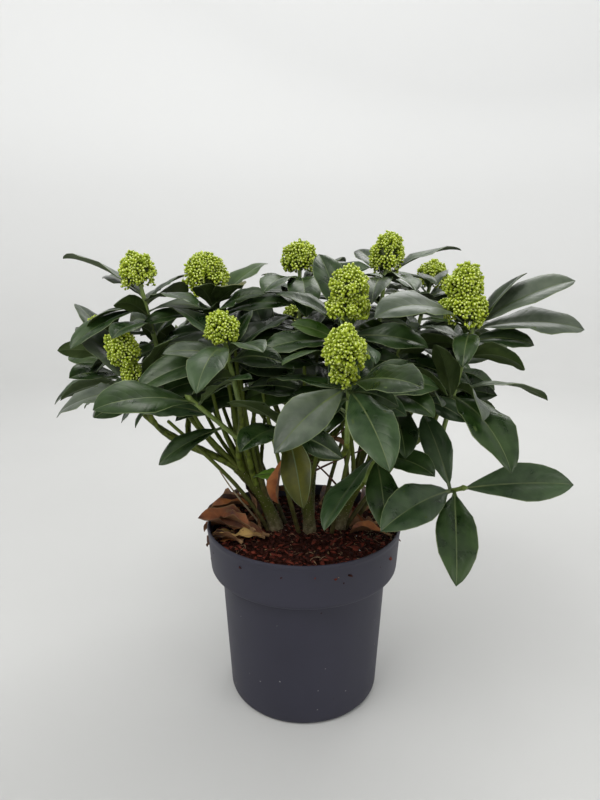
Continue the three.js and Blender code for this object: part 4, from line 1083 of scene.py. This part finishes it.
# A leaf's finish: colour drifts over the blade, and side veins lie slightly sunk in it.
def leaf_finish(name, dark, light, roughness, veins, **shader):
    material = grained_finish(name, dark, light, 14, roughness, 2.2, 0.05, **shader)
    tree = material.node_tree

    def reckoned(operation, first, second=0):
        return new_node(tree, "ShaderNodeMath", {0: first, 1: second}, operation=operation)[0]

    place = new_node(tree, "ShaderNodeUVMap", uv_map="blade")["UV"]
    parts = new_node(tree, "ShaderNodeSeparateXYZ", {0: place})
    out = reckoned("ABSOLUTE", reckoned("SUBTRACT", parts["X"], 0.5))
    along = reckoned("SUBTRACT", reckoned("MULTIPLY", parts["Y"], VEIN_PAIRS),
                     reckoned("MULTIPLY", out, VEIN_SLANT))
    ridge = reckoned("ABSOLUTE", reckoned("SINE", reckoned("MULTIPLY", along, math.pi)))
    side_veins = new_node(tree, "ShaderNodeBump", {"Height": reckoned("POWER", ridge, VEIN_BREADTH),
                                                   "Strength": veins, "Distance": VEIN_DEPTH * MM})["Normal"]
    relief = tree.nodes["Principled BSDF"].inputs["Normal"].links[0].from_node
    tree.links.new(side_veins, relief.inputs["Normal"])
    return material


GLOSS = {"Specular_IOR_Level": 0.38, "Specular_Tint": (0.95, 1.0, 0.86, 1), "Sheen_Weight": 0.035,
         "Sheen_Roughness": 0.4, "Sheen_Tint": (0.92, 0.97, 1.0, 1)}
SHEEN_GLOSS = {"Specular_IOR_Level": 0.5, "Sheen_Weight": 0.12, "Sheen_Roughness": 0.4,
         "Sheen_Tint": (0.95, 0.97, 1.0, 1)}
AGED = {"Specular_IOR_Level": 0.25}
LEAF_TONES = {tone: leaf_finish(*finish, **shader) for tone, shader, *finish in (
    # Painted shade: a darker copy of the leaf green for leaves that lie in shade within the crown.
    ("shade", GLOSS, "leaf_shade_green", (0.004, 0.013, 0.002), (0.015, 0.034, 0.006), (0.22, 0.44), 0.4),
    ("deep", GLOSS, "leaf_deep_green", (0.007, 0.021, 0.003), (0.024, 0.052, 0.01), (0.22, 0.46), 0.4),
    ("blue", GLOSS, "leaf_blue_green", (0.014, 0.034, 0.01), (0.036, 0.068, 0.024), (0.24, 0.48), 0.4),
    ("fresh", GLOSS, "leaf_fresh_green", (0.016, 0.042, 0.004), (0.044, 0.084, 0.012), (0.26, 0.48), 0.4),
    # A grey-green base colour that paints the grey reflection of leaves seen at a grazing angle.
    ("waxy", SHEEN_GLOSS, "leaf_waxy_green", (0.035, 0.052, 0.028), (0.078, 0.1, 0.062), (0.3, 0.46), 0.4),
    ("olive", AGED, "leaf_olive", (0.032, 0.037, 0.001), (0.07, 0.07, 0.003), (0.42, 0.55), 0.35))}
leaf_below = leaf_finish("leaf_underside", (0.034, 0.058, 0.012), (0.058, 0.088, 0.021), (0.55, 0.68), 0.5,
                         Specular_IOR_Level=0.3)
leaf_rib = grained_finish("leaf_rib", (0.055, 0.085, 0.024), (0.095, 0.125, 0.04), 12, (0.4, 0.55), 1, 0.05)
# The edge's pale green is partly the margin's own colour and partly a painted highlight where light catches
# it.
leaf_edge_highlight = grained_finish("leaf_edge_highlight", (0.08, 0.115, 0.04), (0.14, 0.18, 0.07), 12, (0.4, 0.55), 1, 0.05)
leaf_finishes = [*LEAF_TONES.values(), leaf_below, leaf_rib, leaf_edge_highlight]

# The tones that a spray's leaves are drawn from, and those of single leaves of its two whorls. The darkest
# tone is painted shade for leaves in the crown, and the grey-green one a painted reflection.
CROWN_TONES = ("shade", "shade", "deep", "deep", "deep", "blue", "fresh", "waxy")
SPRAY_TONES = {
    "right_low": ("blue", "blue", "deep"), "front_low": ("blue", "deep"), "left_hanging": ("deep", "blue"),
    "middle_low": ("deep", "blue"), "front_top": ("blue", "deep"), "left_top": ("deep", "waxy"),
    "middle_top": ("shade", "deep"), "right_top": ("shade", "deep"),
}
LEAF_OF_TONE = {
    ("right_front", 0, 50): "waxy", ("right_front", 0, 51): "waxy", ("right_front", 0, 52): "waxy",
    ("left_low", 0, 50): "waxy", ("left_low", 0, 52): "waxy", ("left_front", 0, 50): "blue",
    ("front_top", 0, 50): "shade", ("front_top", 0, 51): "waxy", ("front_top", 0, 52): "blue",
    ("middle_low", 0, 52): "olive", ("middle_low", 0, 53): "shade", ("left_hanging", 0, 50): "deep",
    ("left_inner", 0, 50): "olive", ("front_low", 0, 50): "blue", ("front_low", 0, 51): "deep",
}


def leaf_tone(leaf):
    tones = SPRAY_TONES.get(leaf["shoot"], CROWN_TONES)
    drawn = tones[int(chance(*leaf["keys"], 9) * len(tones))]
    return list(LEAF_TONES).index(LEAF_OF_TONE.get((leaf["shoot"], *leaf["keys"][1:]), drawn))


# A joined piece of leaves. Its finishes are those above of each tone, then below, rib, and the edge, whose
# pale green partly paints a highlight.
def leaf_piece(name, leaves, tone_of, finishes, **shape):
    skins, kinds, places = [], [], []
    for leaf in leaves:
        own_points, own_faces, own_kinds, own_places = blade(leaf, **shape)
        skins.append((own_points, own_faces))
        kinds += [tone_of(leaf) if kind == ABOVE else len(finishes) - 4 + kind for kind in own_kinds]
        places += own_places
    piece = solid_piece(name, *joined(skins), finishes, sharp=58)
    piece.data.polygons.foreach_set("material_index", kinds)
    corners = np.zeros(len(piece.data.loops), int)
    piece.data.loops.foreach_get("vertex_index", corners)
    piece.data.uv_layers.new(name="blade").data.foreach_set("uv", np.array(places)[corners].ravel())
    return piece


QUARTERS = {"left": ("left_", "outer_left", "inner_left"), "middle": ("middle_", "front_"),
            "right": ("right_", "outer_right", "inner_right"), "back": ("back_", "inner_back")}
for quarter, beginnings in QUARTERS.items():
    chosen = [leaf for leaf in grown_leaves + filling_leaves if leaf["shoot"].startswith(beginnings)]
    leaves = leaf_piece("leaves_" + quarter, chosen, leaf_tone, leaf_finishes)
    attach(leaves, "root")
    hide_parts(*("foliage_" + s["name"] for s in SHOOTS if s["name"].startswith(beginnings)))

# ---------------------------------------------------------------- panicles
# A domed head of some five hundred unopened buds on fourteen of the shoots. Each bud is a firm yellow-green
# bead on a short stalk that runs in to the head's axis. Its tip is paler, partly its own colour and partly a
# painted highlight, and a dark core in each head stands for the stalks and paints the shade among them.

BUD_SPACING, BUDS_PER_SQUARE_METRE, BUD_SMALLEST, BUD_LARGEST = 2.05, 900000, 0.85, 1.5
BUD_TILT, BUD_SEED, BUD_SIDES, BUD_RINGS, BUD_TALL, BUD_TOP = 0.45, 51, 7, (28, 62, 96, 134), 1.08, 1.12
STALK_RADIUS, STALK_FOOT, STALK_END = 0.3, -0.8, -4.2
# The buds' layers and the core, as shares of the head's size, each open below a height.
LAYERS, CORE = ((0.96, -0.75), (0.8, -0.4)), (0.62, -2)
# The buds sit in clusters, each bulging out between creases, with a gap here and there.
CLUSTERS, CREASES, GAPS, GAPS_CLOSE = 2.4, 0.46, 0.36, 3.1
KNOB, KNOB_VARIES, HEAD_BREADTH, HEAD_TAPERS, HEAD_UNDERCUT = 1.17, 0.14, 0.97, 0.12, 0.1


# A lobe's skin in shares of its true size, from its top down to where it opens underneath.
def lobe_skin(shoot, lobe, scale, subdivisions, open_below):
    width, height = lobe[:2]
    centre, tip = lobe_middle(shoot, lobe), Vector(shoot["tip"])
    upright = Vector((0, 0, 1)).rotation_difference(Vector(shoot_axis(shoot)))
    ball = bmesh.new()
    bmesh.ops.create_icosphere(ball, subdivisions=subdivisions, radius=1)
    low = [vert for vert in ball.verts if vert.co.z < open_below
           or subdivisions > 3 and noise.noise(vert.co * GAPS_CLOSE + tip) > GAPS + 0.2 * vert.co.z]
    bmesh.ops.delete(ball, geom=low, context="VERTS")
    points = []
    for index, vert in enumerate(ball.verts):
        vert.index = index
        place = vert.co * CLUSTERS + tip * 0.37
        knob = KNOB + KNOB_VARIES * noise.noise(place * 0.6) - CREASES * noise.voronoi(place)[0][0]
        broad = HEAD_BREADTH - HEAD_TAPERS * vert.co.z - HEAD_UNDERCUT * max(0, -vert.co.z - 0.4)
        local = Vector((vert.co.x * broad * width / 2, vert.co.y * broad * width / 2, vert.co.z * height / 2))
        points.append(centre + np.array(upright @ (local * (scale * knob))))
    faces = [tuple(vert.index for vert in face.verts) for face in ball.faces]
    ball.free()
    return points, faces


# A bud with its stalk, about one unit in radius. The faces of its tip carry the tip mark, which gives them
# the paler colour that also paints the highlight on the bud's top.
def bud():
    shape = bmesh.new()
    mark = shape.faces.layers.bool.new("tip")
    rings = [[shape.verts.new(point) for point in turned([(math.sin(a), BUD_TALL * math.cos(a))], BUD_SIDES)]
             for a in map(math.radians, BUD_RINGS)]
    top, bottom = shape.verts.new((0, 0, BUD_TOP)), shape.verts.new((0, 0, -1))
    stalk = [shape.verts.new((STALK_RADIUS * math.cos(a), STALK_RADIUS * math.sin(a), STALK_FOOT))
             for a in (0, 2.09, 4.19)]
    end = shape.verts.new((0, 0, STALK_END))
    pairs = [(side, (side + 1) % BUD_SIDES) for side in range(BUD_SIDES)]
    for a, b in pairs:
        shape.faces.new((top, rings[0][a], rings[0][b]))[mark] = True
    for upper, lower in zip(rings, rings[1:]):
        for a, b in pairs:
            shape.faces.new((upper[a], lower[a], lower[b], upper[b]))
    for a, b in pairs:
        shape.faces.new((rings[-1][a], bottom, rings[-1][b]))
    shape.faces.new(stalk)
    for a, b in ((0, 1), (1, 2), (2, 0)):
        shape.faces.new((stalk[b], stalk[a], end))
    return piece_of("bud", shape)


bud_green = grained_finish("bud_green", (0.25, 0.335, 0.014), (0.475, 0.575, 0.042), 6, (0.3, 0.42),
                           0.8, 0.05, Specular_IOR_Level=0.35)
# The pale tip is partly the bud's own colour and partly a painted highlight on its top.
bud_tip_and_highlight = grained_finish("bud_tip_and_highlight", (0.64, 0.72, 0.2), (0.84, 0.9, 0.38), 6, (0.28, 0.4), 0.8, 0.05)
# A dark core inside each head: it stands for the stalks there and paints the shade among them, seen through
# the gaps between the buds.
shaded_head_core = grained_finish("panicle_stalks", (0.025, 0.04, 0.003), (0.06, 0.08, 0.01), 3, (0.5, 0.7),
                           0.8, 0.2)
core_skins = []
for quarter, beginnings in QUARTERS.items():
    lobes = [(shoot, lobe) for shoot in SHOOTS if shoot["name"].startswith(beginnings)
             for lobe in shoot["head"]]
    skins = [lobe_skin(*lobe, scale, 4, low) for lobe in lobes for scale, low in LAYERS]
    core_skins += [lobe_skin(*lobe, CORE[0], 3, CORE[1]) for lobe in lobes]
    buds = strewn_piece("buds_" + quarter, solid_piece("panicle_surface", *joined(skins)), bud(), BUD_SPACING,
                        BUDS_PER_SQUARE_METRE, (BUD_SMALLEST,) * 3, (BUD_LARGEST,) * 3, BUD_TILT, BUD_SEED,
                        bud_green, bud_tip_and_highlight)
    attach(buds, "root")
cores = solid_piece("panicle_stalks", *joined(core_skins), [shaded_head_core], sharp=180)
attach(cores, "root")

# ---------------------------------------------------------------- fallen leaves
# Six large dead leaves that lie on the compost and over the rim, and eighteen small crumpled ones
# among them, curled and wavy as they dried, from purple-brown to orange and straw.

DROPPED_FROM, CRUMPLED_LIFT, CRUMPLED_DROOP = 16.0, 2.5, 60
FALLEN_LEAVES = [
    {"at": [-30, -16], "azimuth": 174, "rise": 14, "droop": 6, "length": 66, "roll": -15, "tone": 0},
    {"at": [-40, 26], "azimuth": 208, "rise": 30, "droop": 52, "length": 54, "roll": -35, "tone": 1},
    {"at": [-42, -30], "azimuth": 150, "rise": 32, "droop": 64, "length": 42, "roll": 10, "tone": 0},
    {"at": [-44, 8], "azimuth": 190, "rise": 30, "droop": 80, "length": 46, "roll": 0, "tone": 3},
    {"at": [76, -16], "azimuth": 170, "rise": 26, "droop": 52, "length": 38, "roll": -10, "tone": 3},
    {"at": [52, 34], "azimuth": 60, "rise": 20, "droop": 44, "length": 46, "roll": 12, "tone": 1},
]
# Each crumpled leaf's x, y, azimuth, rise, length and tone.
CRUMPLED_LEAVES = [
    (-52, -26, 170, 25, 30, 3), (-60, -18, 200, 20, 28, 1), (-52, -33, 160, 25, 28, 2),
    (-66, 2, 160, 25, 26, 3), (-34, -22, 200, 35, 30, 2), (-40, -4, 150, 84, 50, 1),
    (-40, 34, 170, 45, 34, 0), (-58, 16, 120, 35, 30, 3), (-30, 40, 130, 40, 34, 1),
    (-62, -8, 230, 30, 24, 2), (-24, 20, 215, 50, 36, 0), (58, -4, 150, 35, 32, 3),
    (44, 14, 20, 30, 34, 1), (66, 8, 200, 30, 28, 0), (16, 46, 80, 30, 36, 1),
    (-8, 60, 120, 30, 34, 0), (34, 60, 40, 30, 32, 3), (-54, 52, 150, 30, 34, 1),
]
dead_below = leaf_finish("dead_underside", (0.12, 0.05, 0.02), (0.24, 0.12, 0.05), (0.6, 0.8), 0.8)
dead_rib = grained_finish("dead_rib", (0.2, 0.11, 0.05), (0.34, 0.2, 0.09), 6, (0.6, 0.8), 1, 0.1)
dead_finishes = [
    leaf_finish("dead_red_brown", (0.07, 0.02, 0.01), (0.28, 0.09, 0.026), (0.5, 0.7), 0.8),
    leaf_finish("dead_dark_brown", (0.035, 0.014, 0.009), (0.1, 0.035, 0.017), (0.5, 0.7), 0.8),
    leaf_finish("dead_straw", (0.3, 0.17, 0.05), (0.5, 0.33, 0.11), (0.55, 0.75), 0.8),
    leaf_finish("dead_orange", (0.2, 0.055, 0.014), (0.45, 0.16, 0.04), (0.5, 0.7), 0.8),
    dead_below, dead_rib, dead_rib,
]
fallen = []
for number, given in enumerate(FALLEN_LEAVES):
    leaf = {**given, "root": np.array([*given["at"], POT_HEIGHT + DROPPED_FROM]),
            "sweep": spread(30, number), "keys": (number, 77)}
    solid = np.array([vertex.co for vertex in frame["nodes"][f"fallen_leaf_{number + 1}"].data.vertices]) / MM
    tip = plain_corners(leaf)[0]
    lowered = solid[np.argmin(np.hypot(*(solid[:, :2] - tip[:2]).T)), 2] - tip[2]
    fallen.append({**leaf, "root": leaf["root"] + np.array([0, 0, lowered])})
for number, (x, y, azimuth, rise, length, tone) in enumerate(CRUMPLED_LEAVES, len(FALLEN_LEAVES)):
    fallen.append({"root": np.array([x, y, compost_height(x, y) + CRUMPLED_LIFT]), "azimuth": azimuth,
                   "rise": rise, "droop": CRUMPLED_DROOP + spread(30, number, 1), "length": length,
                   "roll": spread(50, number, 2), "sweep": spread(60, number, 3), "keys": (number, 77),
                   "tone": tone})


def own_tone(leaf):
    return leaf["tone"]


dead = leaf_piece("fallen_leaves", fallen, own_tone, dead_finishes, fold=0.42, wave=3.4, thick=0.4,
                  width=0.84, curl=0.6)
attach(dead, "root")
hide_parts(*(f"fallen_leaf_{number + 1}" for number in range(len(FALLEN_LEAVES))))

# ---------------------------------------------------------------- leaves caught low in the crown
# Withered leaves that hang on among the stems, one orange, two straw and one red-brown, curled up
# small, and one young leaf of this year on the left stem.

CAUGHT_LEAVES = [
    {"root": [-15, -30, 229], "azimuth": 215, "rise": -66, "droop": 20, "length": 42, "roll": 14, "tone": 3},
    {"root": [3, -16, 241], "azimuth": 240, "rise": -20, "droop": 60, "length": 25, "roll": 40, "tone": 2},
    {"root": [8, -14, 243], "azimuth": 300, "rise": -10, "droop": 70, "length": 28, "roll": -30, "tone": 0},
    {"root": [15, -16, 238], "azimuth": 330, "rise": 10, "droop": 50, "length": 22, "roll": 10, "tone": 2},
]
caught = [{**given, "root": np.array(given["root"], float), "sweep": 40, "keys": (number, 78)}
          for number, given in enumerate(CAUGHT_LEAVES)]
withered = leaf_piece("withered_leaves", caught, own_tone, dead_finishes, fold=0.5, wave=2.2, thick=0.4,
                      width=0.8, curl=0.5)
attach(withered, "root")
young_green = leaf_finish("leaf_young_green", (0.1, 0.2, 0.02), (0.16, 0.3, 0.035), (0.35, 0.5), 0.3)
young_leaf = {"root": np.array([-43.0, -10.0, 202]), "azimuth": 324, "rise": 24, "droop": 16, "length": 31,
              "roll": 38, "sweep": 0, "keys": (1, 79), "tone": 0}
young = leaf_piece("young_leaf", [young_leaf], own_tone, [young_green, young_green, leaf_rib, leaf_edge_highlight])
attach(young, "root")

# ---------------------------------------------------------------- thin stems
# Young stems no thicker than a straw, which rise from the stools between the four old ones and
# run up into the crown.

THIN_STEMS = [
    [(36, 2, 146), (56, -2, 186), (82, -8, 222), (110, -14, 262)],
    [(44, 10, 146), (64, 8, 186), (92, 6, 224), (118, 8, 268)],
    [(24, -10, 146), (30, -16, 190), (40, -22, 232), (44, -26, 276)],
    [(-31, -2, 146), (-48, -8, 188), (-78, -14, 218), (-112, -20, 254)],
    [(-16, 10, 146), (-34, 26, 192), (-58, 38, 240), (-70, 44, 288)],
    [(-4, -6, 146), (-14, -14, 190), (-26, -18, 234), (-34, -18, 280)],
    [(16, 18, 146), (24, 34, 196), (44, 46, 240), (60, 52, 286)],
]


# The skins of thin limbs along their courses, each with its radius and how much it loses of it.
def thin_limbs(courses, radius, taper, sides, rings, relief, seed):
    return joined([limb_skin(limb_line(course), lambda share: radius - taper * share, sides, rings, relief,
                             seed + number) for number, course in enumerate(courses)])


straw_bark = rising_finish("thin_stem_bark", (0.034, 0.028, 0.008), (0.08, 0.066, 0.022), (0.12, 0.16, 0.024),
                           145, 250, roughness=(0.45, 0.65), Specular_IOR_Level=0.25)
thin_stems = solid_piece("thin_stems", *thin_limbs(THIN_STEMS, 2.1, 0.7, 9, 40, 0.08, 60), [straw_bark],
                         sharp=80)
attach(thin_stems, "root")

# ---------------------------------------------------------------- dry twigs
# Thin dead twigs, bare and brittle: a straw-coloured one leans from the compost over the rim, and
# brown ones are caught among the stems.

DRY_TWIGS = [
    [(-37, 2, 149), (-46, -10, 170), (-57, -20, 186), (-70, -24, 212)],
]
BROWN_TWIGS = [
    [(10, -6, 206), (24, -12, 216), (40, -16, 224), (56, -18, 232)],
    [(2, -8, 212), (8, -16, 228), (10, -22, 240), (6, -28, 252)],
    [(6, -8, 216), (16, -16, 230), (24, -20, 238), (34, -24, 250)],
    [(-2, -6, 214), (-8, -16, 226), (-6, -24, 238), (-12, -30, 248)],
    [(30, -4, 190), (22, -16, 204), (12, -24, 218), (2, -30, 226)],
]
dry_wood = grained_finish("dry_wood", (0.2, 0.15, 0.09), (0.36, 0.29, 0.18), 5, (0.6, 0.8), 0.8, 0.1)
brown_wood = grained_finish("brown_wood", (0.05, 0.022, 0.014), (0.14, 0.07, 0.04), 5, (0.6, 0.8), 0.8, 0.2)
for name, courses, finish in (("dry_twig", DRY_TWIGS, dry_wood), ("brown_twigs", BROWN_TWIGS, brown_wood)):
    dead_twigs = solid_piece(name, *thin_limbs(courses, 1.0, 0.5, 8, 24, 0.1, 5), [finish], sharp=80)
    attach(dead_twigs, "root")
